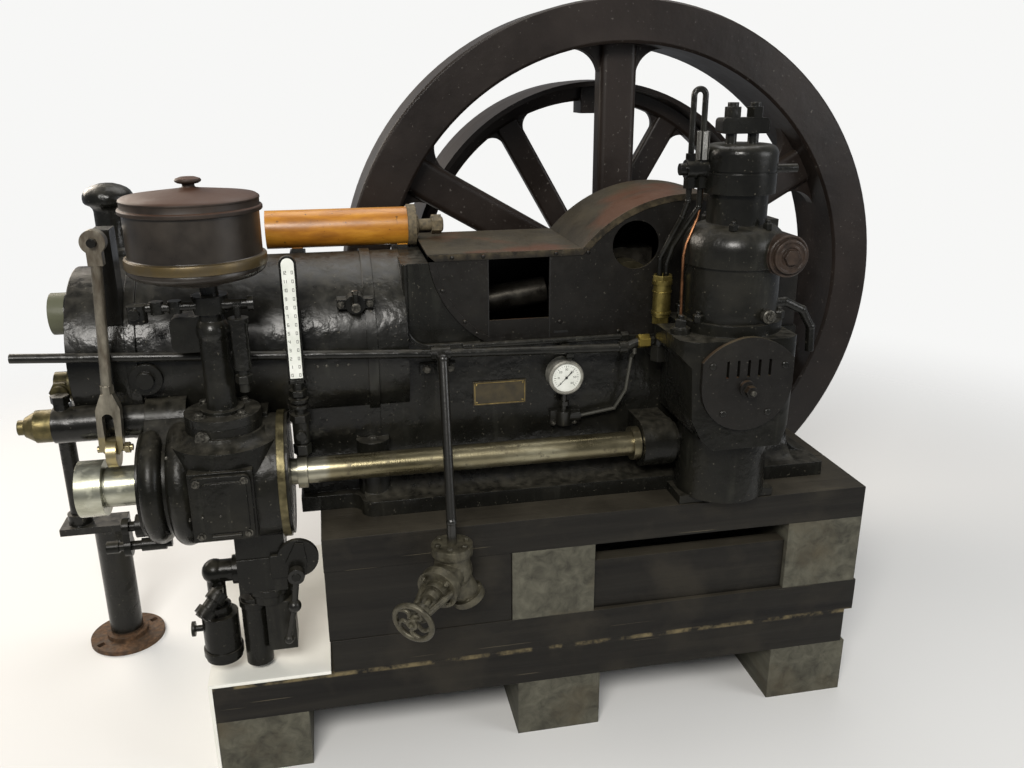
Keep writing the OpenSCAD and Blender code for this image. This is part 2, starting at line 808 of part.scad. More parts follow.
module governor_arm() {
    arm_z = 1241;
    color(iron) at_crank() difference() {
        union() {
            bar_z(column_r + 6, 1222, 1262, col_x, gov_y);
            // left arm with two bosses and the forked end
            bar_x(10, -1345, col_x, -318, arm_z);
            for (x = [-1262, -1300]) bar_z(15, arm_z - 14, arm_z + 14, x, -318);
            bar_z(21, arm_z - 32, arm_z + 8, -1342, -318);
            bar_y(12, -350, -300, -1345, arm_z - 8);
            // right arm with its knob
            bar_x(12, col_x, -1092, -318, arm_z);
            bar_x(17, -1106, -1092, -318, arm_z);
            // dashpot with its lower joint
            bar_z(7, 1130, arm_z, -1128, -338);
            block(-1136, -1120, -338, -318, arm_z - 8, arm_z + 8);
            bar_z(20, 1094, 1213, -1128, -338);
            bar_z(23, 1204, 1214, -1128, -338);
            bar_z(12, 1040, 1095, -1128, -338);
            hex_z(34, 1062, 1080, -1128, -338);
        }
        bar_z(column_r - 14 + 0.1, 1221, 1263, col_x, gov_y);
    }
}

// valve gear rod

module push_rod() {
    py = -276;
    top_x = -1420;
    top_z = 1385;
    fork_x = -1445;
    color(steel) at_crank() difference() {
        union() {
            along_y(py - 12, py + 12) {
                translate([top_x, top_z]) circle(r = 27);
                translate([top_x - 16, top_z - 52]) square([32, 52]);
            }
            bar_to(12, [top_x, py, top_z - 40], [fork_x + 6, py, 1052]);
            hex_z(26, 1036, 1056, fork_x + 6, py);
            // fork over the roller
            along_y(py - 13, py + 13) difference() {
                polygon([[fork_x - 8, 1037], [fork_x + 18, 1037], [fork_x + 30, 1000],
                    [fork_x + 25, 905], [fork_x + 14, 888], [fork_x - 14, 888],
                    [fork_x - 28, 905], [fork_x - 24, 1000]]);
                translate([fork_x, 978]) circle(r = 12);
                translate([fork_x - 12, 880]) square([24, 98]);
            }
            // roller with its pin
            bar_x(36, fork_x - 11.5, fork_x + 11.5, py, 890);
            bar_x(8, fork_x - 34, fork_x + 44, py, 900);
            hex_x(24, fork_x + 27, fork_x + 38, py, 900);
        }
        bar_y(10, py - 13, py + 13, top_x, top_z);
    }
}

// pedestal and inlet pipe

ped_x = -1643;
ped_y = 345;
module pedestal() {
    top_z = ped_h + 22;
    riser_x = ped_x - 84;
    color(iron) at_crank() difference() {
        union() {
            bar_z(112, 0, 14, ped_x, ped_y);
            bar_z(ped_r + 13, 13, 30, ped_x, ped_y);
            bar_z(ped_r, 29, ped_h, ped_x, ped_y);
            block(riser_x - 52, ped_x + ped_r, ped_y - 46, ped_y + 46, ped_h, top_z);
            bar_z(34, top_z - 1, top_z + 34, riser_x, ped_y);
            // thin riser that bends over to the head
            tube(24, [[riser_x, ped_y, top_z], [riser_x, ped_y, 740], [-1640, 240, 850],
                [-1600, 90, 925], [head_left - 10, 90, 925]]);
            bar_x(40, head_left - 16, head_left, 90, 925);
        }
        for (a = [40, 220]) translate([ped_x, ped_y, -1]) rotate([0, 0, a])
            translate([80, -9, 0]) cube([22, 18, 16]);
    }
}

module inlet_pipe() {
    color(iron) at_crank() {
        bar_x(inlet_r, -1582, arm_left - seat, inlet_y, inlet_z);
        bar_x(inlet_r - 4, -1622, -1581, inlet_y, inlet_z);
        translate([-1646, inlet_y, inlet_z]) rotate([0, 90, 0])
            cylinder(r1 = 24, r2 = inlet_r - 5, h = 25);
        bar_x(18, -1662, -1640, inlet_y, inlet_z);
        bar_z(17, inlet_z, inlet_z + 58, -1562, inlet_y);
        hex_z(38, inlet_z + 56, inlet_z + 74, -1562, inlet_y);
    }
}

// fittings on the side

module sight_scale() {
    sx = -1014;
    sy = -274;
    w = 19.5;
    color(iron) at_crank() {
        along_y(sy - 6, sy + 7) {
            translate([sx - w, 1030]) square([2 * w, 288]);
            translate([sx, 1318]) circle(r = w);
        }
        bar_z(12, 850, 1031, sx, sy);
        hex_z(38, 1000, 1014, sx, sy);
        bar_z(24, 984, 992, sx, sy);
        bar_z(22, 968, 976, sx, sy);
        hex_z(42, 934, 952, sx, sy);
        bar_z(20, 880, 935, sx, sy);
        hex_z(38, 850, 874, sx, sy);
        block(sx - 9, sx + 9, sy, -bed_half, 892, 912);
        bar_y(12, sy - 36, sy, sx, 905);
    }
}

module lubricator() {
    ly = 85;
    lz = 1342;
    color([0.66, 0.42, 0.16]) at_crank() {
        bar_x(50, -1077, -684, ly, lz);
        bar_x(56, -706, -684, ly, lz);
        bar_x(16, -685, -620, ly, lz);
        hex_x(46, -640, -613, ly, lz);
        for (x = [-1000, -722]) block(x - 14, x + 14, ly - 22, ly + 22, saddle_top, 1310);
    }
}

pipe_y = -248;
tee_x = -665;
tee_z = 1074;
module fuel_pipe() {
    color(iron) at_crank() {
        bar_to(11, [-1640, pipe_y, 1124], [tee_x, pipe_y, tee_z]);
        bar_to(11, [tee_x, pipe_y, tee_z], [-192, pipe_y, 1059]);
        bar_to(11, [-192, pipe_y, 1059], [-150, pipe_y, 1073]);
        bar_x(15, -203, -181, pipe_y, 1061);
        hex_x(32, -152, -122, pipe_y, 1074);
        bar_x(11, -123, -109, pipe_y, 1074);
        // tee with its two-bolt flange, and a clip near the crank
        bar_x(17, tee_x - 24, tee_x + 24, pipe_y, tee_z);
        block(tee_x - 10, tee_x + 10, pipe_y - 3, -188, tee_z - 60, tee_z + 4);
        block(tee_x - 46, tee_x + 46, -190, -bed_half, 1004, 1030);
        block(-342, -322, pipe_y - 3, -bed_half, 1042, 1062);
        // second pipe, along the top edge of the bed
        bar_x(8, -600, -162, -bed_half - 12, 1072);
        hex_x(24, -180, -160, -bed_half - 12, 1072);
    }
}

module drop_pipe() {
    color(iron) at_crank() tube(12, [[tee_x, pipe_y - 17.5, tee_z], [tee_x, pipe_y - 50, tee_z],
        [valve_x, valve_y, 700], [valve_x, valve_y, 640]]);
}

valve_x = -672;
valve_y = -425;
valve_z = 570;
stem_dir = [cos(stem_tilt) * cos(stem_turn), cos(stem_tilt) * sin(stem_turn), -sin(stem_tilt)];
// point on the stem at a distance from the middle of the valve
function on_stem(d) = [valve_x, valve_y, valve_z] + d * stem_dir;

module angle_valve() {
    side = [-sin(stem_turn), cos(stem_turn), 0];
    outlet = [0.42, 0.05, -0.9];
    mid_pt = [valve_x, valve_y, valve_z];
    color(iron) at_crank() difference() {
        union() {
            bar_z(51, 616, 640, valve_x, valve_y);
            bar_z(44, valve_z, 617, valve_x, valve_y);
            translate(mid_pt) sphere(r = 49);
            // bonnet with its flange, gland and yoke
            bar_to(43, mid_pt, on_stem(62));
            bar_to(53, on_stem(60), on_stem(84));
            bar_to(30, on_stem(82), on_stem(104));
            bar_to(22, on_stem(102), on_stem(126));
            for (m = [-1, 1]) bar_to(8, on_stem(80) + 38 * m * side, on_stem(168) + 18 * m * side);
            bar_to(24, on_stem(160), on_stem(176));
            // outlet with its flange
            bar_to(34, mid_pt, mid_pt + 82 * outlet);
            bar_to(43, mid_pt + 80 * outlet, mid_pt + 98 * outlet);
        }
        bar_to(8 + run, on_stem(96), on_stem(200));
    }
}

module handwheel() {
    color(iron) at_crank() {
        bar_to(8, on_stem(98), on_stem(212));
        translate(on_stem(202)) rotate([0, acos(stem_dir[2]), stem_turn]) {
            rotate_extrude() translate([wheel_r - 7, 0]) circle(r = 7, $fn = 24);
            cylinder(r = 15, h = 20, center = true);
            for (i = [0 : 4]) rotate([0, 0, 72 * i]) rotate([0, 90, 0])
                cylinder(r = 5, h = wheel_r - 7);
        }
    }
}

module name_plate() {
    color(brass) at_crank() block(-574, -433, -bed_half - 4, -bed_half, 904, 970);
}

module pressure_gauge() {
    gx = -334;
    gy = -bed_half - 22;
    color([0.7, 0.7, 0.68]) at_crank() {
        bar_y(46, -bed_half - 42, -bed_half, gx, 979);
        bar_z(8, 880, 936, gx, gy);
        hex_z(24, 896, 908, gx, gy);
        bar_z(19, 842, 881, gx, gy);
        bar_x(13, gx - 2, gx + 44, gy, 862);
        block(gx - 34, gx + 46, -bed_half - 14, -bed_half, 836, 878);
        tube(5, [[gx + 43, gy, 862], [gx + 140, gy, 876], [gx + 166, gy - 12, 930],
            [gx + 174, gy - 26, 1028], [gx + 174, pipe_y, 1044], [gx + 174, pipe_y, 1055.8]]);
    }
}

fx = -93;
module oil_filter() {
    color(brass) at_crank() {
        bar_z(23, 1138, 1242, fx, pipe_y);
        bar_z(26, 1222, 1234, fx, pipe_y);
        bar_z(15, 1062, 1139, fx, pipe_y);
        hex_z(40, 1120, 1140, fx, pipe_y);
        hex_z(40, 1020, 1062, fx, pipe_y);
        block(fx - 14, fx + 14, pipe_y, -bed_half, 1026, 1048);
    }
}

// compressor

low_z = 1156;
module compressor_body() {
    top_z = 1128;
    front = -475;
    corner = 55;
    color(iron) at_crank() {
        // crank case, tapering downwards, with rounded front corners
        intersection() {
            along_y(front, -bed_half) polygon([[-118, top_z], [-118, 1092], [-92, 1062],
                [-86, 930], [-60, 878], [-30, 850], [150, 850], [172, 900], [180, 1040],
                [190, 1075], [190, top_z - 10], [180, top_z]]);
            linear_extrude(top_z + 1) {
                translate([-118 + corner, front]) square([308 - 2 * corner, 190]);
                translate([-118, front + corner]) square([308, 190 - corner]);
                translate([-56, front + 189]) square([246, 120]);
                for (x = [-118 + corner, 190 - corner]) translate([x, front + corner])
                    circle(r = corner);
            }
        }
        difference() {
            union() {
                block(comp_x - 116, comp_x + 146, -366, -bed_half, bed_z, bed_z + 24);
                bar_z(118, bed_z + 20, 1000, comp_x + 14, -310);
                block(comp_x - 60, comp_x + 100, -300, -bed_half, bed_z + 20, 1000);
            }
            // stands against the foot and above the curved flank of the bed
            block(comp_x - 300, comp_x + 300, -foot_half, 0, bed_z - 1, foot_top + 76);
        }
        bar_z(low_r + 14, top_z - 1, low_z, comp_x, -comp_y);
        // lug at the left with its stud
        bar_z(24, 1100, 1142, -92, -380);
    }
}

module shield_cover() {
    color(iron) at_crank() difference() {
        union() {
            along_y(-487, -475) {
                translate([44, 1021]) circle(r = 117);
                intersection() {
                    translate([44, 985]) circle(r = 151);
                    translate([-73, 1021]) square([234, 130]);
                }
            }
            bar_y(20, -496, -486, 42, 1012);
            hex_y(26, -512, -495, 46, 1008);
        }
        for (i = [0 : 4]) block(-13 + i * 27, -6 + i * 27, -488, -474, 1040, 1082);
    }
}

module low_stage_cylinder() {
    dome_r = low_r + 9;
    round_r = 56;
    color(iron) at_crank() {
        bar_z(low_r, low_z, 1290, comp_x, -comp_y);
        bar_x(16, comp_x, comp_x + 124, -comp_y, 1180);
        translate([comp_x, -comp_y, 1290]) rotate_extrude() {
            square([dome_r - round_r, 96]);
            square([dome_r, 40]);
            intersection() {
                translate([dome_r - round_r, 40]) circle(r = round_r);
                square(200);
            }
        }
        // inlet valve cap in front of the dome
        bar_y(50, -460, -comp_y, comp_x + 78, 1322);
        bar_y(40, -470, -459, comp_x + 78, 1322);
        hex_y(34, -482, -469, comp_x + 78, 1322);
        // oval flange on top
        along_y(-comp_y - 30, -comp_y + 30) translate([25, 1372]) square([128, 22]);
        bar_z(72, 1385, 1458, comp_x, -comp_y);
        // plug in the front
        bar_y(14, -comp_y - low_r - 10, -comp_y - 80, comp_x + 44, 1177);
    }
}

module high_stage_head() {
    round_r = 24;
    color(iron) at_crank() {
        bar_z(high_r, 1458, 1506, comp_x, -comp_y);
        bar_z(high_r - 3, 1505, 1512, comp_x, -comp_y);
        translate([comp_x, -comp_y, 1511]) rotate_extrude() {
            square([high_r - round_r, 60]);
            square([high_r, 60 - round_r]);
            translate([high_r - round_r, 60 - round_r]) circle(r = round_r);
        }
        for (s = [-1, 1]) bar_z(13, 1570, 1664, comp_x + s * 28, -comp_y);
        // bridge held down by two nuts
        along_y(-comp_y - 22, -comp_y + 22) round_plate(comp_x - 60, comp_x + 58, 1594, 1630, 9);
        for (s = [-1, 1]) hex_z(36, 1630, 1654, comp_x + s * 28, -comp_y);
        // side arms with their unions
        bar_x(22, comp_x - 138, comp_x, -comp_y, 1514);
        bar_x(14, comp_x - 152, comp_x - 137, -comp_y, 1514);
        bar_x(10, comp_x, comp_x + 148, -comp_y, 1511);
        for (x = [comp_x - 126, comp_x - 98]) hex_z(26, 1470, 1496, x, -comp_y);
        hex_z(22, 1530, 1550, comp_x - 126, -comp_y);
        hex_z(30, 1530, 1600, comp_x - 98, -comp_y);
    }
}

module compressor_pipes() {
    up_x = comp_x - 126;
    down_x = comp_x - 98;
    bend_r = (down_x - up_x) / 2;
    color(iron) at_crank() {
        // two pipes from the filter to the head
        tube(7, [[fx - 9, pipe_y, 1242], [fx - 9, pipe_y, 1290], [-84, -270, 1345],
            [-74, -310, 1400], [up_x, -comp_y, 1440], [up_x, -comp_y, 1470]]);
        tube(7, [[fx + 9, pipe_y, 1242], [fx + 9, pipe_y, 1275], [-76, -262, 1320],
            [-62, -300, 1372], [down_x, -comp_y, 1425], [down_x, -comp_y, 1470]]);
        // loop above the left arm
        bar_z(7, 1550, 1680, up_x, -comp_y);
        bar_z(7, 1600, 1680, down_x, -comp_y);
        translate([up_x + bend_r, -comp_y, 1680]) rotate([90, 0, 0]) rotate_extrude(angle = 180)
            translate([bend_r, 0]) circle(r = 7, $fn = 24);
        // pipe that hangs at the right
        tube(11, [[comp_x + 124, -comp_y, 1180], [comp_x + 150, -comp_y, 1180],
            [comp_x + 200, -comp_y, 1156], [comp_x + 228, -comp_y, 1110],
            [comp_x + 232, -comp_y, 1045]]);
    }
}

grey_blocks();
lower_beams();
upper_beams();
side_planks();
cover_board();
bed_frame();
cylinder_jacket();
cylinder_head();
intake_pot();
crank_hood();
piston();
connecting_rod();
big_end();
crankshaft();
main_bearings();
flywheel();
belt_pulley();
side_shaft();
shaft_bearing();
cam_drum();
pump_housing();
housing_cover();
fuel_pump();
regulating_lever();
governor_column();
governor_drum();
governor_lid();
governor_arm();
push_rod();
pedestal();
inlet_pipe();
sight_scale();
lubricator();
fuel_pipe();
drop_pipe();
angle_valve();
handwheel();
name_plate();
pressure_gauge();
oil_filter();
compressor_body();
shield_cover();
low_stage_cylinder();
high_stage_head();
compressor_pipes();
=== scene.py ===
import json
import math

import bmesh
import bpy
from mathutils import Matrix, Vector


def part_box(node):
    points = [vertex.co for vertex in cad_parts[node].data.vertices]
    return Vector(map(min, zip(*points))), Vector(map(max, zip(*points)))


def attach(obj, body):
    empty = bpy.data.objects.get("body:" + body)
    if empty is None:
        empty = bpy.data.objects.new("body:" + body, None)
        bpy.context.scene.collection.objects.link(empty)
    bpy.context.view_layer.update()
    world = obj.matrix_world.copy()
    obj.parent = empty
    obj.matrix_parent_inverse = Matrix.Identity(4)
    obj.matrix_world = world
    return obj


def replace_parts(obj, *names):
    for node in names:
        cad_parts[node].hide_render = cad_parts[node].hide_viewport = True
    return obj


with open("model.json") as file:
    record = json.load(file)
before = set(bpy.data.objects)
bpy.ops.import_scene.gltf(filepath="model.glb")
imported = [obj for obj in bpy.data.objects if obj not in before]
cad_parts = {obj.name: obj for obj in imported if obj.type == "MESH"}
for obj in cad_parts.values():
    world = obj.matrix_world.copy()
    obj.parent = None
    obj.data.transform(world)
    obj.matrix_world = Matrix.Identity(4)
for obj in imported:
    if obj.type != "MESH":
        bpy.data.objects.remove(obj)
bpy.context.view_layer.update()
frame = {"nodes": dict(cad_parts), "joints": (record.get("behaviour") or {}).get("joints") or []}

nodes = frame["nodes"]
joints = {joint["name"]: joint for joint in frame["joints"]}

# Camera, floor and light
# The camera stands where a visitor would, a little left of the engine's middle, at eye
# height and looking down. The floor fades out into the pale backdrop.
EYE = (-0.539, -2.378, 1.720)
LOOK_DOWN, ROLL, LOOK_RIGHT = 18.775, 0.21, 11.605
SENSOR, LENS = 36, 31.68
FLOOR_R = 6
FADE_START, FADE_END = 1.6, 4.6
FLOOR_GREY = (0.70, 0.70, 0.69, 1)
BACKDROP_GREY = (0.93, 0.93, 0.92, 1)
ROOM_LIGHT = (0.80, 0.83, 0.88, 1)
ROOM_STRENGTH = 0.27

camera_data = bpy.data.cameras.new("view")
camera = bpy.data.objects.new("view", camera_data)
bpy.context.scene.collection.objects.link(camera)
camera.location = EYE
camera.rotation_euler = [math.radians(a) for a in (90 - LOOK_DOWN, ROLL, -LOOK_RIGHT)]
camera_data.sensor_width = SENSOR
camera_data.lens = LENS
camera_data.clip_start = 0.02
bpy.context.scene.camera = camera
bpy.context.scene.view_settings.view_transform = "Standard"


def mix_by(t, factor, first, second, output):
    """Mixes two shaders by a factor and joins them to an output's surface."""
    mix = t.nodes.new("ShaderNodeMixShader")
    t.links.new(factor, mix.inputs["Fac"])
    t.links.new(first.outputs[0], mix.inputs[1])
    t.links.new(second.outputs[0], mix.inputs[2])
    t.links.new(mix.outputs[0], t.nodes[output].inputs["Surface"])


floor_mesh = bpy.data.meshes.new("studio_floor")
floor = bpy.data.objects.new("studio_floor", floor_mesh)
bpy.context.scene.collection.objects.link(floor)
bm = bmesh.new()
bmesh.ops.create_circle(bm, cap_ends=True, segments=64, radius=FLOOR_R)
bm.to_mesh(floor_mesh)
bm.free()
floor_paint = bpy.data.materials.new("studio_floor")
floor_paint.use_nodes = True
t = floor_paint.node_tree
shader = t.nodes["Principled BSDF"]
shader.inputs["Base Color"].default_value = FLOOR_GREY
shader.inputs["Roughness"].default_value = 0.9
coords = t.nodes.new("ShaderNodeTexCoord")
length = t.nodes.new("ShaderNodeVectorMath")
length.operation = "LENGTH"
t.links.new(coords.outputs["Object"], length.inputs[0])
fade = t.nodes.new("ShaderNodeMapRange")
fade.interpolation_type = "SMOOTHSTEP"
fade.inputs["From Min"].default_value = FADE_START
fade.inputs["From Max"].default_value = FADE_END
t.links.new(length.outputs["Value"], fade.inputs["Value"])
clear = t.nodes.new("ShaderNodeBsdfTransparent")
mix_by(t, fade.outputs["Result"], shader, clear, "Material Output")
floor_mesh.materials.append(floor_paint)

world = bpy.data.worlds.new("studio")
bpy.context.scene.world = world
world.use_nodes = True
t = world.node_tree
ambient = t.nodes["Background"]
ambient.inputs["Color"].default_value = ROOM_LIGHT
ambient.inputs["Strength"].default_value = ROOM_STRENGTH
plain = t.nodes.new("ShaderNodeBackground")
plain.inputs["Color"].default_value = BACKDROP_GREY
plain.inputs["Strength"].default_value = 1.0
path = t.nodes.new("ShaderNodeLightPath")
mix_by(t, path.outputs["Is Camera Ray"], ambient, plain, "World Output")


def add_lamp(name, place, aim, size, watts, colour=(1, 1, 1)):
    data = bpy.data.lights.new(name, "AREA")
    data.shape = "RECTANGLE"
    data.size, data.size_y = size
    data.energy = watts
    data.color = colour
    lamp = bpy.data.objects.new(name, data)
    bpy.context.scene.collection.objects.link(lamp)
    lamp.location = place
    lamp.rotation_euler = (Vector(aim) - Vector(place)).to_track_quat("-Z", "Y").to_euler()


MIDDLE = (0, 0, 0.8)
add_lamp("key", (-1.5, -4.0, 3.9), MIDDLE, size=(2.0, 1.4), watts=240, colour=(1.0, 0.97, 0.92))
add_lamp("window", (-3.2, 2.4, 2.9), (-0.2, 0, 1.0), size=(2.6, 2.0), watts=150, colour=(1.0, 0.90, 0.78))
add_lamp("fill", (3.6, -2.6, 2.4), MIDDLE, size=(2.0, 2.0), watts=60)
add_lamp("sky", (0.4, 1.0, 4.2), MIDDLE, size=(3.2, 2.4), watts=70, colour=(1.0, 0.98, 0.95))

# The stack of timbers
# Old railway-size timbers: weathered grey sleepers and blocks, and beams painted black.
# They lie loose on each other. The saw marks and grain run along each timber, and the
# upper edges of the lowest beams are rubbed to bare wood.
CRANK_X, _, CRANK_Z = joints["crank_turn"]["pos_m"]
GREY_DARK, GREY_LIGHT = (0.036, 0.034, 0.026), (0.100, 0.096, 0.072)
GREY_SCUFF, GREY_DUST = (0.070, 0.058, 0.038), (0.105, 0.097, 0.072)
BLACK_DARK, BLACK_LIGHT = (0.0048, 0.0042, 0.0034), (0.0135, 0.0120, 0.0092)
BLACK_SCUFF, BLACK_DUST = (0.026, 0.0225, 0.0165), (0.045, 0.039, 0.028)
BARE_WOOD, SCRATCH = (0.17, 0.135, 0.070), (0.10, 0.085, 0.055)


def new_material(name):
    m = bpy.data.materials.new(name)
    m.use_nodes = True
    t = m.node_tree
    return m, t, t.nodes["Principled BSDF"]


def place_coords(t, scale=(1, 1, 1)):
    coords = t.nodes.new("ShaderNodeTexCoord")
    mapping = t.nodes.new("ShaderNodeMapping")
    mapping.inputs["Scale"].default_value = scale
    t.links.new(coords.outputs["Object"], mapping.inputs["Vector"])
    return mapping.outputs["Vector"]


def noise(t, size, detail=4, rough=0.55, stretch=(1, 1, 1), distortion=0.0):
    """Noise with blotches about size metres across, stretched along the axes."""
    n = t.nodes.new("ShaderNodeTexNoise")
    n.inputs["Scale"].default_value = 1.0
    n.inputs["Detail"].default_value = detail
    n.inputs["Roughness"].default_value = rough
    n.inputs["Distortion"].default_value = distortion
    t.links.new(place_coords(t, tuple(s / size for s in stretch)), n.inputs["Vector"])
    return n.outputs["Fac"]


def ramp(t, source, stops):
    """Colours from (position, colour) stops, picked by the source."""
    r = t.nodes.new("ShaderNodeValToRGB")
    e = r.color_ramp.elements
    e[0].position, e[1].position = stops[0][0], stops[-1][0]
    e[0].color, e[1].color = (*stops[0][1], 1), (*stops[-1][1], 1)
    for at, c in stops[1:-1]:
        e.new(at).color = (*c, 1)
    t.links.new(source, r.inputs["Fac"])
    return r.outputs["Color"]


def mottle(t, source, dark, light, low=0.3, high=0.7):
    """From a dark colour to a light one as the source goes from low to high."""
    return ramp(t, source, [(low, dark), (high, light)])


def to_range(t, source, low, high, out_low, out_high):
    r = t.nodes.new("ShaderNodeMapRange")
    for key, value in (("From Min", low), ("From Max", high), ("To Min", out_low), ("To Max", out_high)):
        r.inputs[key].default_value = value
    t.links.new(source, r.inputs["Value"])
    return r.outputs["Result"]


def plug(t, value, socket):
    """Sets a socket to a number or colour, or links it to another socket."""
    if isinstance(value, (int, float)):
        socket.default_value = value
    elif isinstance(value, tuple):
        socket.default_value = (*value, 1)
    else:
        t.links.new(value, socket)


def calc(t, kind, a, b):
    m = t.nodes.new("ShaderNodeMath")
    m.operation = kind
    plug(t, a, m.inputs[0])
    plug(t, b, m.inputs[1])
    return m.outputs[0]


def both(t, a, b):
    """The part that two masks share."""
    return calc(t, "MULTIPLY", a, b)


def blend_colours(t, factor, a, b):
    m = t.nodes.new("ShaderNodeMix")
    m.data_type = "RGBA"
    for value, socket in ((factor, m.inputs[0]), (a, m.inputs[6]), (b, m.inputs[7])):
        plug(t, value, socket)
    return m.outputs[2]


def axis_of(t, source, axis):
    s = t.nodes.new("ShaderNodeSeparateXYZ")
    t.links.new(source, s.inputs[0])
    return s.outputs[axis]


def between(t, axis, low, high, soft=1.0):
    """1 from low to high along an axis, in millimetres, with x from the crankshaft."""
    zero = CRANK_X if axis == "X" else 0
    low, high, soft = zero + low / 1000, zero + high / 1000, soft / 1000
    where = axis_of(t, place_coords(t), axis)
    return both(t, to_range(t, where, low - soft, low, 0, 1), to_range(t, where, high, high + soft, 1, 0))


def facing_up(t):
    g = t.nodes.new("ShaderNodeNewGeometry")
    return to_range(t, axis_of(t, g.outputs["Normal"], "Z"), 0.35, 0.95, 0.0, 1.0)


def coat(t, shader, colour):
    t.links.new(colour, shader.inputs["Base Color"])


def sheen(t, shader, source, low, high):
    """Roughness from one value to the other as a noise goes from its lows to its highs."""
    t.links.new(to_range(t, source, 0.3, 0.7, low, high), shader.inputs["Roughness"])


def settle(shader, metallic=None, roughness=None, specular=None):
    """Sets values that are the same all over a piece."""
    for key, value in (("Metallic", metallic), ("Roughness", roughness), ("Specular IOR Level", specular)):
        if value is not None:
            shader.inputs[key].default_value = value


def overlay(t, shader, mask, colour, rough, metallic=0.0):
    """Lays another finish over the one so far, where mask is 1."""
    base = shader.inputs["Base Color"]
    coat(t, shader, blend_colours(t, mask, base.links[0].from_socket, colour))
    for key, value in (("Roughness", rough), ("Metallic", metallic)):
        socket = shader.inputs[key]
        now = socket.links[0].from_socket if socket.is_linked else socket.default_value
        m = t.nodes.new("ShaderNodeMix")
        for value_in, s in ((mask, m.inputs[0]), (now, m.inputs[2]), (value, m.inputs[3])):
            plug(t, value_in, s)
        t.links.new(m.outputs[0], socket)


def add_bump(t, shader, heights, round_edges=0.0):
    """Bump from (height, strength, depth in metres) layers, one on the other."""
    last = None
    if round_edges:
        b = t.nodes.new("ShaderNodeBevel")
        b.samples = 4
        b.inputs["Radius"].default_value = round_edges
        last = b.outputs["Normal"]
    for height, strength, depth in heights:
        b = t.nodes.new("ShaderNodeBump")
        b.inputs["Strength"].default_value = strength
        b.inputs["Distance"].default_value = depth
        t.links.new(height, b.inputs["Height"])
        if last is not None:
            t.links.new(last, b.inputs["Normal"])
        last = b.outputs["Normal"]
    t.links.new(last, shader.inputs["Normal"])


def dress(material, *names):
    for n in names:
        slots = nodes[n].data.materials
        slots.clear()
        slots.append(material)


def timber(name, dark, light, scuff, top_tint, stretch, rough):
    """Sawn timber, with the grain stretched along it and dust on what faces up."""
    m, t, shader = new_material(name)
    grain = noise(t, 1.0, 6, 0.6, stretch, 0.5)
    blotch = noise(t, 0.20, 4, 0.6)
    colour = mottle(t, grain, dark, light)
    colour = blend_colours(t, to_range(t, blotch, 0.50, 0.68, 0.0, 0.7), colour, scuff)
    top = both(t, facing_up(t), to_range(t, blotch, 0.3, 0.7, 0.35, 1.0))
    coat(t, shader, blend_colours(t, top, colour, top_tint))
    sheen(t, shader, blotch, *rough)
    add_bump(t, shader, [(grain, 0.7, 0.004), (blotch, 0.3, 0.006)], 0.004)
    settle(shader, specular=0.2)
    return m, t, shader


grey_timber, t, shader = timber("grey_timber", GREY_DARK, GREY_LIGHT, GREY_SCUFF, GREY_DUST,
                                stretch=(26, 1.3, 26), rough=(0.65, 0.9))
dress(grey_timber, "grey_blocks")
black_timber, t, shader = timber("black_timber", BLACK_DARK, BLACK_LIGHT, BLACK_SCUFF, BLACK_DUST,
                                 stretch=(1.2, 26, 26), rough=(0.40, 0.7))
front, top = 1000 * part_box("lower_beams")[0].y, 1000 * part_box("lower_beams")[1].z
edge = both(t, between(t, "Z", top - 7, top + 1, 4), between(t, "Y", front - 10, front + 10))
rubbed = both(t, edge, to_range(t, noise(t, 0.09, 4, 0.7), 0.45, 0.6, 0.0, 0.8))
overlay(t, shader, rubbed, BARE_WOOD, 0.7)
scratches = to_range(t, noise(t, 1.0, 3, 0.5, (2.2, 160, 160)), 0.71, 0.73, 0.0, 0.7)
overlay(t, shader, scratches, SCRATCH, 0.7)
dress(black_timber, "lower_beams", "upper_beams", "side_planks")

# White board
# A thin board with white gloss paint. It lies loose over the left end of the lowest
# beams, below the pump group.
BOARD_SHADE, BOARD_WHITE = (0.66, 0.66, 0.60), (0.84, 0.83, 0.78)
white_board, t, shader = new_material("white_board")
coat(t, shader, mottle(t, noise(t, 0.3), BOARD_SHADE, BOARD_WHITE))
settle(shader, roughness=0.5)
add_bump(t, shader, [(noise(t, 0.05, 3), 0.1, 0.002)], 0.003)
dress(white_board, "cover_board")

# Engine castings
# Cast iron, bolted together, under many coats of black-green enamel brushed on thick: it
# has runs, lumps and a wet shine, with dust and oil on what faces up and chips where it
# was knocked. The lighter colour on what faces up is partly dust and partly a painted
# sheen, as if lit from above.
ENAMEL = [(0.3, (0.0038, 0.0037, 0.0030)), (0.55, (0.0072, 0.0070, 0.0055)), (0.75, (0.0145, 0.0135, 0.0100))]
ENAMEL_DUST_AND_SHEEN, ENAMEL_RUN, ENAMEL_CHIP = (0.045, 0.041, 0.031), (0.026, 0.026, 0.0205), (0.085, 0.078, 0.060)
PLAIN_ENAMEL = (0.0085, 0.0080, 0.0062)
engine_paint, t, shader = new_material("engine_paint")
patches = noise(t, 0.16, 4, 0.6)
lumps = noise(t, 0.022, 3, 0.5)
runs = noise(t, 0.03, 3, 0.5, (1, 1, 0.10))
pits = noise(t, 0.005, 2, 0.6)
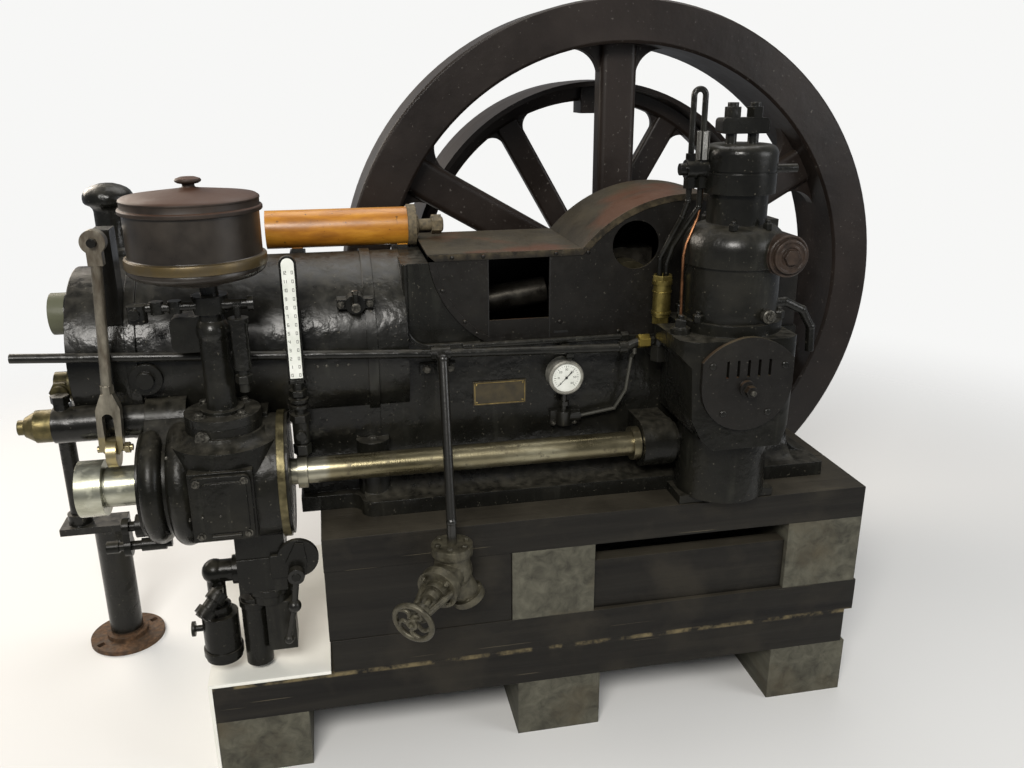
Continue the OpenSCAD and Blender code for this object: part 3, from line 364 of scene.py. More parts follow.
# what faces up gets a lighter grey-brown: partly dust, partly a painted sheen of light from above
top_tint = both(t, facing_up(t), to_range(t, lumps, 0.35, 0.7, 0.15, 0.8))
colour = blend_colours(t, top_tint, ramp(t, patches, ENAMEL), ENAMEL_DUST_AND_SHEEN)
streaks = both(t, to_range(t, runs, 0.58, 0.72, 0.0, 0.5), to_range(t, patches, 0.4, 0.6, 0.2, 1.0))
colour = blend_colours(t, streaks, colour, ENAMEL_RUN)
chips = to_range(t, noise(t, 0.007, 2, 0.5), 0.70, 0.74, 0.0, 0.75)
coat(t, shader, blend_colours(t, chips, colour, ENAMEL_CHIP))
dull = calc(t, "ADD", to_range(t, patches, 0.3, 0.7, 0.19, 0.35), calc(t, "MULTIPLY", top_tint, 0.34))
t.links.new(dull, shader.inputs["Roughness"])
lumpy = to_range(t, noise(t, 0.11, 2, 0.5), 0.46, 0.62, 0.10, 0.75)
add_bump(t, shader, [(both(t, lumps, lumpy), 0.62, 0.006), (runs, 0.25, 0.003), (pits, 0.10, 0.0008)], 0.003)
settle(shader, specular=0.3)
dress(engine_paint, "bed_frame", "cylinder_jacket", "intake_pot", "governor_column",
      "governor_arm", "compressor_pipes", "regulating_lever", "sight_scale")

# Pump group, compressor case and shaft bracket
# Cast iron in the same enamel, but duller: these castings are bolted on low down, where
# oil and dust collect.


def copy_of(material, name):
    m = material.copy()
    m.name = name
    t = m.node_tree
    return m, t, t.nodes["Principled BSDF"]


dull_paint, t, shader = copy_of(engine_paint, "dull_paint")
settle(shader, specular=0.17)
dress(dull_paint, "housing_cover", "fuel_pump", "compressor_body", "shaft_bearing")

# Cylinder head
# One casting bolted to the end of the jacket and painted like it. The union at its lower
# front is brass under old paint, and the face of the upper cap has lost its gloss.
UNION_DARK, UNION_BRASS = (0.028, 0.024, 0.012), (0.125, 0.105, 0.046)
CAP_GREY = (0.085, 0.088, 0.055)
cap_paint, t, shader = copy_of(engine_paint, "cap_paint")
union = both(t, between(t, "X", -1620, -1536.5), between(t, "Z", 985, 1060))
overlay(t, shader, union, mottle(t, noise(t, 0.02, 4), UNION_DARK, UNION_BRASS, 0.35, 0.65), 0.38, 0.6)
cap_face = both(t, between(t, "X", -1600, -1537.5), between(t, "Z", 1139.5, 1240.5))
overlay(t, shader, cap_face, CAP_GREY, 0.5)
dress(cap_paint, "cylinder_head")

# Drive housing with its machined rim
# A round casting that closes in the drive of the governor and the pump. The rim at its
# right end was turned bright and has gone yellow-brown.
RIM_X, RIM_INNER = (-1070.5, -1051.5), 152.5
RIM_DARK, RIM_LIGHT = (0.045, 0.038, 0.019), (0.175, 0.150, 0.080)


def round_mask(t, axes, centre, r, soft, inside=1, outside=0):
    """Tells the inside of a round bar from the outside; centre is given in metres."""
    where = place_coords(t)
    steps = [calc(t, "SUBTRACT", axis_of(t, where, axis), at) for axis, at in zip(axes, centre)]
    away = calc(t, "SQRT", calc(t, "ADD", *[calc(t, "MULTIPLY", s, s) for s in steps]), 0.0)
    return to_range(t, away, r / 1000, (r + soft) / 1000, inside, outside)


housing_paint, t, shader = copy_of(dull_paint, "housing_paint")
shaft_centre = joints["side_shaft_turn"]["pos_m"][1:]
rim = both(t, between(t, "X", *RIM_X), round_mask(t, "YZ", shaft_centre, RIM_INNER, 1, 0, 1))
overlay(t, shader, rim, mottle(t, noise(t, 0.04, 4), RIM_DARK, RIM_LIGHT, 0.35, 0.65), 0.42, 0.8)
dress(housing_paint, "pump_housing")

# Crank hood
# Sheet steel in satin brown-black paint. What faces up on its bent top is lighter olive,
# partly dust and partly a painted sheen, with reddish patches that are a painted reflection
# of warm light. The top sheet is folded down over the sides and riveted; the near side is
# made of panels.
SHEET = [(0.3, (0.0046, 0.0040, 0.0033)), (0.6, (0.0080, 0.0070, 0.0056)), (0.8, (0.0135, 0.0120, 0.0092))]
SHEET_DUST_AND_SHEEN, SHEET_WARM_REFLECTION, SHEET_CHIP = (0.060, 0.049, 0.030), (0.085, 0.030, 0.014), (0.08, 0.075, 0.06)
SHEET_WORN = (0.095, 0.074, 0.041)
SEAM_DARK, SEAM_LIGHT = (0.003, 0.003, 0.003), (0.007, 0.0065, 0.006)
HOOD_FACE = 1000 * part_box("crank_hood")[0].y
FOLD_W, FOLD_T = 17, 2.2
SEAM_HALF, SEAM_T = 0.9, 0.4
RIVET_R = 5.5
RIVETS_ON_FOLD = ((-620, 1297), (-541, 1297), (-353, 1297), (-268, 1297), (-646, 1214), (-591, 1131))
RIVETS_ON_PANEL = ((-341, 1117), (-560, 1098), (-180, 1082))

sheet_paint, t, shader = new_material("sheet_paint")
patches = noise(t, 0.13, 4, 0.6)
fine = noise(t, 0.02, 3, 0.6)
# what faces up is lighter olive: partly dust, partly a painted sheen
top_tint = both(t, facing_up(t), to_range(t, patches, 0.3, 0.65, 0.45, 1.0))
colour = blend_colours(t, top_tint, ramp(t, patches, SHEET), SHEET_DUST_AND_SHEEN)
# reddish patches on what faces up are a painted reflection of warm light
warm_reflection = both(t, facing_up(t), to_range(t, noise(t, 0.25, 3), 0.52, 0.62, 0.0, 0.65))
colour = blend_colours(t, warm_reflection, colour, SHEET_WARM_REFLECTION)
chips = to_range(t, noise(t, 0.006, 2), 0.69, 0.73, 0.0, 0.6)
coat(t, shader, blend_colours(t, chips, colour, SHEET_CHIP))
sheen(t, shader, fine, 0.36, 0.54)
add_bump(t, shader, [(patches, 0.25, 0.006), (fine, 0.12, 0.0015)], 0.002)
settle(shader, specular=0.25)
dress(sheet_paint, "crank_hood", "shield_cover")


def point(x, y, z):
    """A place in millimetres, with x counted from the crankshaft's axis."""
    return Vector((CRANK_X + x / 1000, y / 1000, z / 1000))


def finish(name, bm, material, body="engine", crease=32):
    """Turns a bmesh into a piece: normals outward, smooth but for sharp edges."""
    bmesh.ops.remove_doubles(bm, verts=bm.verts, dist=1e-6)
    bmesh.ops.recalc_face_normals(bm, faces=bm.faces)
    for f in bm.faces:
        f.smooth = True
    for e in bm.edges:
        e.smooth = len(e.link_faces) == 2 and e.calc_face_angle(0) < math.radians(crease)
    mesh = bpy.data.meshes.new(name)
    bm.to_mesh(mesh)
    bm.free()
    mesh.materials.append(material)
    piece = bpy.data.objects.new(name, mesh)
    bpy.context.scene.collection.objects.link(piece)
    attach(piece, body)
    return piece


def thicken(bm, faces, depth):
    """Gives flat faces a thickness in the y direction."""
    grown = bmesh.ops.extrude_face_region(bm, geom=faces)["geom"]
    moved = [g for g in grown if isinstance(g, bmesh.types.BMVert)]
    bmesh.ops.translate(bm, verts=moved, vec=(0, depth / 1000, 0))


def plate(bm, outline, y0, y1):
    """A plate from an outline in the x and z directions, between two depths."""
    thicken(bm, [bm.faces.new([bm.verts.new(point(x, y0, z)) for x, z in outline])], y1 - y0)


def slab(bm, x0, x1, z0, z1, y0, y1):
    plate(bm, [(x0, z0), (x1, z0), (x1, z1), (x0, z1)], y0, y1)


def band(bm, path, width, y0, y1):
    """A flat band that follows a path and lies to its right, between two depths."""
    inner = []
    for i, (x, z) in enumerate(path):
        a, b = path[max(i - 1, 0)], path[min(i + 1, len(path) - 1)]
        along = Vector((b[0] - a[0], b[1] - a[1])).normalized()
        inner.append((x + along.y * width, z - along.x * width))
    a, b = [[bm.verts.new(point(x, y0, z)) for x, z in line] for line in (path, inner)]
    strips = zip(a, a[1:], b[1:], b)
    thicken(bm, [bm.faces.new(corners) for corners in strips], y1 - y0)


def arc(x, z, r, start, stop, steps):
    angles = [math.radians(start + (stop - start) * i / steps) for i in range(steps + 1)]
    return [(x + r * math.cos(a), z + r * math.sin(a)) for a in angles]


def facing(place, out, turn=0.0):
    """The matrix that sets a shape's z along a direction, at a place."""
    tilt = Vector(out).to_track_quat("Z", "Y").to_matrix().to_4x4()
    return Matrix.Translation(point(*place)) @ tilt @ Matrix.Rotation(math.radians(turn), 4, "Z")


def spun(bm, outline, steps, where, closed=False):
    """Spins an outline of (radius, height) pairs about z, caps it and sets it in its place."""
    shape = bmesh.new()
    line = [shape.verts.new((r / 1000, 0, h / 1000)) for r, h in outline]
    for pair in zip(line, line[1:] + line[:1] if closed else line[1:]):
        shape.edges.new(pair)
    bmesh.ops.spin(shape, geom=shape.verts[:] + shape.edges[:], cent=(0, 0, 0), axis=(0, 0, 1),
                   angle=math.tau, steps=steps, use_merge=True)
    bmesh.ops.remove_doubles(shape, verts=shape.verts, dist=1e-7)
    bmesh.ops.holes_fill(shape, edges=[e for e in shape.edges if e.is_boundary])
    bmesh.ops.transform(shape, matrix=where, verts=shape.verts)
    mesh = bpy.data.meshes.new("spun")
    shape.to_mesh(mesh)
    shape.free()
    bm.from_mesh(mesh)
    bpy.data.meshes.remove(mesh)


def turned(bm, place, out, profile, sides=20, turn=0.0):
    """A turned shape: (radius, height) pairs in millimetres about a direction."""
    spun(bm, profile, sides, facing(place, out, turn))


def rivet(bm, place, out, r):
    turned(bm, place, out, [(r, -0.5), (r, 0), (0.9 * r, 0.35 * r), (0.6 * r, 0.6 * r), (0, 0.72 * r)], 14)


bm = bmesh.new()
left_corner = arc(-389, 1325, 292, 240, 184, 14)
over_crank = arc(0, 1000 * CRANK_Z, 372, 139.5, 30, 40)
band(bm, left_corner + over_crank, FOLD_W, HOOD_FACE - FOLD_T, HOOD_FACE)
fold_paint, t, shader = copy_of(sheet_paint, "fold_paint")
worn = both(t, between(t, "Z", 1306, 1500, 20), to_range(t, noise(t, 0.035, 4, 0.7), 0.40, 0.62, 0.1, 0.6))
overlay(t, shader, worn, SHEET_WORN, 0.55)
finish("hood_fold", bm, fold_paint)

seam_black, t, shader = new_material("seam_black")
coat(t, shader, mottle(t, noise(t, 0.02), SEAM_DARK, SEAM_LIGHT))
settle(shader, roughness=0.6)
bm = bmesh.new()
for x in (-529, -368):
    slab(bm, x - SEAM_HALF, x + SEAM_HALF, 1076, 1288, HOOD_FACE - SEAM_T, HOOD_FACE)
slab(bm, -356, -318, 1087, 1093, HOOD_FACE - SEAM_T, HOOD_FACE)
finish("hood_seams", bm, seam_black)

bm = bmesh.new()
for lift, places in ((FOLD_T, RIVETS_ON_FOLD), (0, RIVETS_ON_PANEL)):
    for x, z in places:
        rivet(bm, (x, HOOD_FACE - lift, z), (0, -1, 0), RIVET_R)
finish("hood_rivets", bm, sheet_paint)

# Air inlet pot
# A cast pipe that stands on the head by its foot flange, with a round mushroom cap over
# its mouth. It is painted like the head.
POT = (-1450, 60, 1300)
POT_FOOT = [(48, 0), (48, 12), (46, 14), (41, 16), (38, 20)]
POT_NECK = [(38, 108), (40, 115), (45, 121), (55, 126)]
POT_CAP = [(59, 131), (60, 139), (59, 148), (54, 157), (46, 164), (34, 170), (18, 175), (0, 177)]
bm = bmesh.new()
turned(bm, POT, (0, 0, 1), POT_FOOT + POT_NECK + POT_CAP, 56)
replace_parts(finish("mushroom_cap", bm, engine_paint, crease=60), "intake_pot")

# Saddle edge
# The bed's saddle lies back from its face, behind a round moulded edge that was cast
# with it and carries the same paint.
SADDLE_Y, SADDLE_R = -171, 6


def swept(bm, path, r, sides=12):
    """A round rod through a list of points in millimetres."""
    pts = [point(*p) for p in path]
    side = None
    before = None
    for i, p in enumerate(pts):
        along = (pts[min(i + 1, len(pts) - 1)] - pts[max(i - 1, 0)]).normalized()
        if side is None:
            side = along.orthogonal()
        side = (side - along * side.dot(along)).normalized()
        where = Matrix((side.cross(along), side, along)).transposed().to_4x4()
        where.translation = p
        ring = bmesh.ops.create_circle(bm, cap_ends=i in (0, len(pts) - 1), segments=sides,
                                       radius=r / 1000, matrix=where)["verts"]
        edges = list({e for v in ring for e in v.link_edges})
        if before:
            bmesh.ops.bridge_loops(bm, edges=before + edges)
        before = edges


bm = bmesh.new()
edge = [(-738, 1284), (-738, 1200)] + arc(-686, 1124, 52, 180, 270, 8) + [(-610, 1072), (-552, 1072)]
swept(bm, [(x, SADDLE_Y, z) for x, z in edge], SADDLE_R)
finish("saddle_edge", bm, engine_paint)

# Wheels
# Flywheel and pulley: cast iron, keyed to the crankshaft, with thin satin brown-black
# paint that is speckled and has dust on what faces up.
WHEEL_DARK, WHEEL_LIGHT = (0.0075, 0.0053, 0.0042), (0.0165, 0.0112, 0.0085)
WHEEL_SPECK, WHEEL_DUST = (0.11, 0.10, 0.088), (0.036, 0.027, 0.020)
wheel_paint, t, shader = new_material("wheel_paint")
patches = noise(t, 0.25, 4, 0.6)
specks = noise(t, 0.010, 2, 0.5)
colour = mottle(t, patches, WHEEL_DARK, WHEEL_LIGHT)
colour = blend_colours(t, to_range(t, specks, 0.68, 0.72, 0.0, 0.6), colour, WHEEL_SPECK)
coat(t, shader, blend_colours(t, calc(t, "MULTIPLY", facing_up(t), 0.5), colour, WHEEL_DUST))
sheen(t, shader, patches, 0.30, 0.46)
add_bump(t, shader, [(noise(t, 0.05, 3), 0.22, 0.004), (specks, 0.15, 0.001)], 0.004)
settle(shader, specular=0.3)
dress(wheel_paint, "flywheel", "belt_pulley")

# Bright work
# Crankshaft, side shaft, piston and cam drum: turned steel that shows the lathe's rings,
# with old yellow-brown oil and stains. The side shaft has been wiped where it leaves the
# drive housing, and the cam drum is paler.
OILY = [(0.3, (0.105, 0.090, 0.050)), (0.55, (0.21, 0.185, 0.115)), (0.72, (0.37, 0.345, 0.240))]
OIL_STAIN, WIPED_STEEL = (0.05, 0.042, 0.026), (0.38, 0.37, 0.30)
PALE_DARK, PALE_LIGHT = (0.24, 0.24, 0.18), (0.54, 0.54, 0.45)
oily_steel, t, shader = new_material("oily_steel")
oil = noise(t, 0.07, 4, 0.6, (0.35, 1, 1))
lathe = noise(t, 0.0022, 2, 0.5, (1, 0.01, 0.01))
coat(t, shader, ramp(t, oil, OILY))
settle(shader, metallic=0.9)
sheen(t, shader, oil, 0.24, 0.40)
stains = to_range(t, noise(t, 0.03, 4, 0.7), 0.56, 0.66, 0.0, 0.7)
overlay(t, shader, stains, OIL_STAIN, 0.5, 0.5)
add_bump(t, shader, [(lathe, 0.25, 0.0008)], 0.0015)
wiped = both(t, between(t, "X", -1040, -965, 15), to_range(t, oil, 0.35, 0.6, 0.3, 0.75))
overlay(t, shader, wiped, WIPED_STEEL, 0.32, 0.9)
dress(oily_steel, "crankshaft", "side_shaft", "piston")
pale_steel, t, shader = copy_of(oily_steel, "pale_steel")
coat(t, shader, mottle(t, noise(t, 0.05, 4, 0.6, (0.35, 1, 1)), PALE_DARK, PALE_LIGHT))
dress(pale_steel, "cam_drum")

# Connecting rod, big end and main bearings
# Forged steel and cast bearing blocks, dark with old oil. The big end is bolted round
# the crank pin, and the blocks to the bed.
DARK_STEEL, DARK_STEEL_WORN = (0.018, 0.016, 0.013), (0.075, 0.068, 0.056)
dark_steel, t, shader = new_material("dark_steel")
oil = noise(t, 0.05, 4, 0.6)
coat(t, shader, mottle(t, oil, DARK_STEEL, DARK_STEEL_WORN))
settle(shader, metallic=0.8)
sheen(t, shader, oil, 0.22, 0.42)
add_bump(t, shader, [(oil, 0.2, 0.002)], 0.002)
dress(dark_steel, "connecting_rod", "big_end", "main_bearings")

# Push rod
# A forged steel rod with an eye and a grey-green fork, browned with oil towards its top.
# The roller in the fork is bright and brassy.
ROD_DARK, ROD_WORN, ROD_BROWN = (0.110, 0.098, 0.074), (0.34, 0.31, 0.245), (0.070, 0.048, 0.030)
ROLLER_BRASS = (0.33, 0.27, 0.13)
rod_grey, t, shader = new_material("rod_grey")
wear = noise(t, 0.03, 4, 0.65, (1, 1, 0.35))
coat(t, shader, mottle(t, wear, ROD_DARK, ROD_WORN))
settle(shader, metallic=0.75)
sheen(t, shader, wear, 0.28, 0.45)
upper = both(t, between(t, "Z", 1100, 1450, 20), to_range(t, wear, 0.35, 0.6, 0.6, 0.1))
overlay(t, shader, upper, ROD_BROWN, 0.42, 0.4)
roller = both(t, between(t, "Z", 850, 930, 6), to_range(t, noise(t, 0.02, 4), 0.35, 0.6, 1.0, 0.5))
overlay(t, shader, roller, ROLLER_BRASS, 0.3, 0.9)
add_bump(t, shader, [(wear, 0.2, 0.001)], 0.0015)
dress(rod_grey, "push_rod")

# Thin pipe along the bed
# Steel pipe held by clips, with the same paint as the engine. The union that screws it to
# the compressor's side is bare brass.
PIPE_BRASS = (0.32, 0.24, 0.06)
pipe_paint, t, shader = copy_of(engine_paint, "pipe_paint")
union = both(t, between(t, "X", -152.5, -121.5), between(t, "Y", -300, -215))
overlay(t, shader, union, PIPE_BRASS, 0.34, 0.9)
dress(pipe_paint, "fuel_pipe")

# Inlet pipe
# A painted pipe that is screwed into the head. The coupling and cone at its left end are
# old brass with green-brown tarnish.
CONE_DARK, CONE_BRASS = (0.05, 0.045, 0.02), (0.17, 0.135, 0.058)
inlet_paint, t, shader = copy_of(engine_paint, "inlet_paint")
cone = between(t, "X", -1700, -1582.5)
overlay(t, shader, cone, mottle(t, noise(t, 0.025, 4), CONE_DARK, CONE_BRASS), 0.42, 0.7)
dress(inlet_paint, "inlet_pipe")

# Pedestal
# A painted iron pipe that stands on the floor by a round flange and carries the inlet
# pipe. The flange has rusted.
RUST_DARK, RUST_LIGHT = (0.055, 0.028, 0.014), (0.15, 0.085, 0.045)
pedestal_paint, t, shader = copy_of(engine_paint, "pedestal_paint")
rusted = both(t, between(t, "Z", -10, 31, 10), to_range(t, noise(t, 0.03, 4, 0.65), 0.35, 0.6, 0.35, 1.0))
overlay(t, shader, rusted, mottle(t, noise(t, 0.012, 4), RUST_DARK, RUST_LIGHT), 0.8)
dress(pedestal_paint, "pedestal")

# Governor drum and lid
# A spun steel drum in satin brown-black paint over a bronze ring, on top of the governor
# column. Its lid drops over the rim; what faces up on it is painted reddish brown, a painted
# reflection of warm light.
DRUM_DARK, DRUM_LIGHT, BRONZE = (0.0125, 0.0098, 0.0074), (0.029, 0.0230, 0.0172), (0.125, 0.090, 0.038)
LID_DARK, LID_LIGHT, LID_WARM_REFLECTION = (0.013, 0.0095, 0.0070), (0.030, 0.020, 0.0140), (0.085, 0.040, 0.024)
DRUM = (-1206, -300)
DRUM_R, DRUM_TOP = 143, 1449
RING_LOW, RING_HIGH = 1332, 1353
BOWL = [(62, 1290), (70, 1299), (DRUM_R - 34, 1303), (DRUM_R - 12, 1309), (DRUM_R + 1, 1317),
        (DRUM_R + 5, 1323), (DRUM_R + 5, 1329), (DRUM_R + 4, 1331)]
BRONZE_RING = [(DRUM_R + 7.5, RING_LOW), (DRUM_R + 8.5, RING_LOW + 2), (DRUM_R + 8.5, RING_HIGH - 2),
               (DRUM_R + 7.5, RING_HIGH)]
DRUM_WALL = [(DRUM_R + 2, 1354), (DRUM_R, 1356), (DRUM_R, DRUM_TOP - 1), (DRUM_R - 3, DRUM_TOP)]
LID_EDGE = [(DRUM_R - 3, 0.2), (DRUM_R + 6.5, 0.2), (DRUM_R + 8, 2), (DRUM_R + 8, 8), (DRUM_R + 6.5, 10),
            (DRUM_R + 3, 11), (DRUM_R + 2, 13), (DRUM_R + 2, 24)]
LID_DOME = [(DRUM_R + 3.2, 25), (DRUM_R + 3.2, 28), (DRUM_R + 2, 29.5), (DRUM_R - 3, 33), (DRUM_R * 0.6, 40)]
LID_KNOB = [(30, 47), (15, 50), (13, 53), (13, 57), (22, 59), (27, 62), (28, 65), (26, 68.5),
            (16, 72), (0, 73)]

drum_paint, t, shader = new_material("drum_paint")
patches = noise(t, 0.08, 4, 0.6)
coat(t, shader, mottle(t, patches, DRUM_DARK, DRUM_LIGHT))
sheen(t, shader, patches, 0.26, 0.40)
ring = between(t, "Z", RING_LOW - 0.8, RING_HIGH + 1)
bronze = both(t, ring, to_range(t, noise(t, 0.04, 4, 0.65), 0.35, 0.6, 1.0, 0.45))
overlay(t, shader, bronze, BRONZE, 0.42, 0.8)
add_bump(t, shader, [(noise(t, 0.03, 3, 0.5, (1, 1, 0.3)), 0.12, 0.003)], 0.0015)
dress(drum_paint, "governor_drum")
lid_paint, t, shader = new_material("lid_paint")
patches = noise(t, 0.06, 4, 0.6)
colour = mottle(t, patches, LID_DARK, LID_LIGHT)
# what faces up on the lid is painted reddish brown: a painted reflection of warm light
coat(t, shader, blend_colours(t, calc(t, "MULTIPLY", facing_up(t), 0.6), colour, LID_WARM_REFLECTION))
sheen(t, shader, patches, 0.44, 0.60)
settle(shader, specular=0.3)
add_bump(t, shader, [(noise(t, 0.02, 3), 0.15, 0.002)], 0.0015)
dress(lid_paint, "governor_lid")

bm = bmesh.new()
turned(bm, (*DRUM, 0), (0, 0, 1), BOWL + BRONZE_RING + DRUM_WALL, 120)
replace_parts(finish("turned_drum", bm, drum_paint), "governor_drum")
bm = bmesh.new()
turned(bm, (*DRUM, DRUM_TOP), (0, 0, 1), LID_EDGE + LID_DOME + LID_KNOB, 120)
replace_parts(finish("turned_lid", bm, lid_paint), "governor_lid")

# Lubricator
# A long sheet metal barrel in amber varnish, streaked with old oil, on painted feet. It
# has a rough brown end plate with a ring of small studs, and a nut on its outlet.
VARNISH = [(0.28, (0.12, 0.036, 0.004)), (0.5, (0.36, 0.140, 0.012)), (0.72, (0.58, 0.27, 0.028))]
VARNISH_SPOT, END_DARK, END_LIGHT = (0.03, 0.014, 0.006), (0.035, 0.028, 0.017), (0.16, 0.125, 0.07)
BARREL_END, OUTLET_END = (-684, 85, 1342), (-613, 85, 1342)
X, Y, Z = Vector((1, 0, 0)), Vector((0, 1, 0)), Vector((0, 0, 1))


def evenly(count, start=0.0):
    return [start + 360 * i / count for i in range(count)]


def around(centre, r, degrees, first=X, second=Y):
    """Places at given angles on a circle that lies in the plane of two directions."""
    angles = map(math.radians, degrees)
    return [Vector(centre) + (first * math.cos(a) + second * math.sin(a)) * r for a in angles]


varnish, t, shader = new_material("amber_varnish")
streak = noise(t, 0.06, 5, 0.65, (0.25, 1, 1))
spots = to_range(t, noise(t, 0.012, 3), 0.66, 0.72, 0.0, 0.8)
coat(t, shader, blend_colours(t, spots, ramp(t, streak, VARNISH), VARNISH_SPOT))
sheen(t, shader, streak, 0.42, 0.24)
end_brown = mottle(t, noise(t, 0.012, 4, 0.7), END_DARK, END_LIGHT)
overlay(t, shader, between(t, "X", -706.5, 620), end_brown, 0.75)
overlay(t, shader, between(t, "Z", 1000, 1293.5), PLAIN_ENAMEL, 0.4)
add_bump(t, shader, [(noise(t, 0.03, 3), 0.12, 0.002), (noise(t, 0.004, 2), 0.1, 0.0006)], 0.002)
dress(varnish, "lubricator")
bm = bmesh.new()
for place in around(BARREL_END, 46, evenly(10), Y, Z):
    rivet(bm, place, X, 5)
turned(bm, BARREL_END, X, [(30, -0.5), (29, 6), (22, 9), (18, 9)], 24)
turned(bm, OUTLET_END, X, [(20, -0.5), (20, 3), (16, 5), (12, 5), (11, 1), (0, 0)])
finish("lubricator_end", bm, varnish)

# Valve, drop pipe and handwheel
# An angle valve of bare iron with brown oil on it, on a painted pipe. Bolts hold its
# flanges, and a cast handwheel with curved spokes is held on the stem by a nut.
IRON_DARK, IRON_LIGHT = (0.028, 0.0245, 0.016), (0.105, 0.095, 0.064)
VALVE = Vector((-672, -425, 570))
TOP_FLANGE, STEM_FLANGE, OUTLET_FLANGE = 70, 84, 81
HUB_AT, NUT_AT = 202, 210
WHEEL_R, RIM_THICK = 48, 7
stem = Vector(joints["handwheel_turn"]["axis"]).normalized()
side = Z.cross(stem).normalized()
over = side.cross(stem)
outlet = Vector((0.42, 0.05, -0.9)).normalized()
across = outlet.orthogonal().normalized()
round_outlet = (across, outlet.cross(across))


def hex_bolt(bm, place, out, flats, height, washer=0.0, stud=0.0, turn=0.0):
    """A hexagon head or nut, with a washer under it and a stud end above it if given."""
    lift = 0.0
    if washer:
        turned(bm, place, out, [(washer, -0.5), (washer, 2.0), (washer - 0.6, 2.6)])
        lift = 2.0
    r = flats / math.sqrt(3)
    turned(bm, place, out, [(r, lift - 0.5), (r, lift + height * 0.86), (r * 0.86, lift + height)], 6, turn)
    if stud:
        s = flats * 0.29
        top = lift + height + stud
        turned(bm, place, out, [(s, lift), (s, top - 1.2), (s - 1.2, top)], 12)


valve_iron, t, shader = new_material("valve_iron")
patches = noise(t, 0.025, 4, 0.65)
coat(t, shader, mottle(t, patches, IRON_DARK, IRON_LIGHT))
settle(shader, metallic=0.5)
sheen(t, shader, patches, 0.36, 0.55)
overlay(t, shader, between(t, "Z", 660, 1200, 20), PLAIN_ENAMEL, 0.28)
add_bump(t, shader, [(noise(t, 0.008, 3), 0.35, 0.0015)], 0.002)
dress(valve_iron, "angle_valve", "handwheel", "drop_pipe")

bm = bmesh.new()
for i, place in enumerate(around(VALVE + Z * TOP_FLANGE, 38, evenly(6, 15))):
    hex_bolt(bm, place, Z, 13, 8, turn=20 * i)
for i, place in enumerate(around(VALVE + stem * STEM_FLANGE, 42, evenly(4, 45), side, over)):
    hex_bolt(bm, place, stem, 13, 9, stud=4, turn=25 * i)
for i, place in enumerate(around(VALVE + outlet * OUTLET_FLANGE, 34, evenly(4, 45), *round_outlet)):
    hex_bolt(bm, place, -outlet, 10, 6, turn=25 * i)
finish("valve_bolts", bm, valve_iron)

bm = bmesh.new()
hub = VALVE + stem * HUB_AT
in_wheel = Matrix((side, over, -stem)).transposed().to_4x4()
in_wheel.translation = point(*hub)
spun(bm, arc(WHEEL_R, 0, RIM_THICK, 0, 337.5, 15), 48, in_wheel, closed=True)
for i in range(5):
    spoke = []
    for u in [k / 8 for k in range(9)]:
        a = math.tau * i / 5 + 0.75 * math.sin(math.pi * u) * (1 - 0.4 * u)
        r = 10 + (WHEEL_R - 12) * u
        spoke.append(hub + (side * math.cos(a) + over * math.sin(a)) * r + stem * (2 - 2 * u))
    swept(bm, spoke, 5, 10)
turned(bm, hub, stem, [(15, -10), (15, 9), (13, 10)], 32)
turned(bm, VALVE, stem, [(8, 98), (8, 212)])
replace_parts(finish("spoked_handwheel", bm, valve_iron, "valve_handwheel"), "handwheel")
bm = bmesh.new()
nut = VALVE + stem * NUT_AT
hex_bolt(bm, nut, stem, 14, 8, stud=3)
turned(bm, nut, stem, [(15, -6), (15, -1), (13, 0.5), (9, 0.5)])
finish("handwheel_nut", bm, valve_iron, "valve_handwheel")

# Bolts on the drive housing
# Worn steel bolts on washers. Small ones hold the square cover and larger ones the foot
# of the governor column; a capped plug and a few rivet heads sit beside them.
BOLT_DARK, BOLT_WORN = (0.016, 0.015, 0.012), (0.10, 0.094, 0.078)
COVER_FACE = -446
PLATE_FACE = 1000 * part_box("housing_cover")[0].y + 3
COLUMN_FOOT = (-1188, -300, 986)
HOUSING_Y, HOUSING_Z = (1000 * c for c in shaft_centre)
HOUSING_R = 150
SMALL_WASHER, SMALL_HEAD = [(9.5, -0.5), (9.5, 2), (8.8, 2.6)], [(6, 2), (6, 6), (4.8, 8), (0, 9)]
LARGE_WASHER, LARGE_HEAD = [(15, -0.5), (15, 2), (14, 3)], [(9.5, 2), (9.5, 9), (8, 11), (0, 12)]
bolt_steel, t, shader = new_material("bolt_steel")
wear = noise(t, 0.006, 3, 0.6)
coat(t, shader, mottle(t, wear, BOLT_DARK, BOLT_WORN, 0.35, 0.65))
settle(shader, metallic=0.6)
sheen(t, shader, wear, 0.3, 0.5)
bm = bmesh.new()
for x, z in ((-1245, 864), (-1141, 864), (-1245, 734), (-1141, 734)):
    turned(bm, (x, COVER_FACE, z), -Y, SMALL_WASHER)
    turned(bm, (x, COVER_FACE, z), -Y, SMALL_HEAD, 16)
for x in (-1238, -1199):
    rivet(bm, (x, PLATE_FACE, 784), -Y, 3)
for place in around(COLUMN_FOOT, 67, evenly(4, 45)):
    turned(bm, place, Z, LARGE_WASHER)
    turned(bm, place, Z, LARGE_HEAD, 16)
turned(bm, (-1226, -372, 944), (-0.35, -0.93, 0.08), [(19, -14), (19, 10), (16, 14), (0, 17)], 24)
for x, z in ((-1300, 846), (-1296, 770), (-1272, 764), (-1312, 905)):
    bulge = 0.985 * math.sqrt(HOUSING_R ** 2 - (z - HOUSING_Z) ** 2)
    rivet(bm, (x, HOUSING_Y - bulge, z), (0, -1, 0.2), 5)
finish("housing_bolts", bm, bolt_steel)

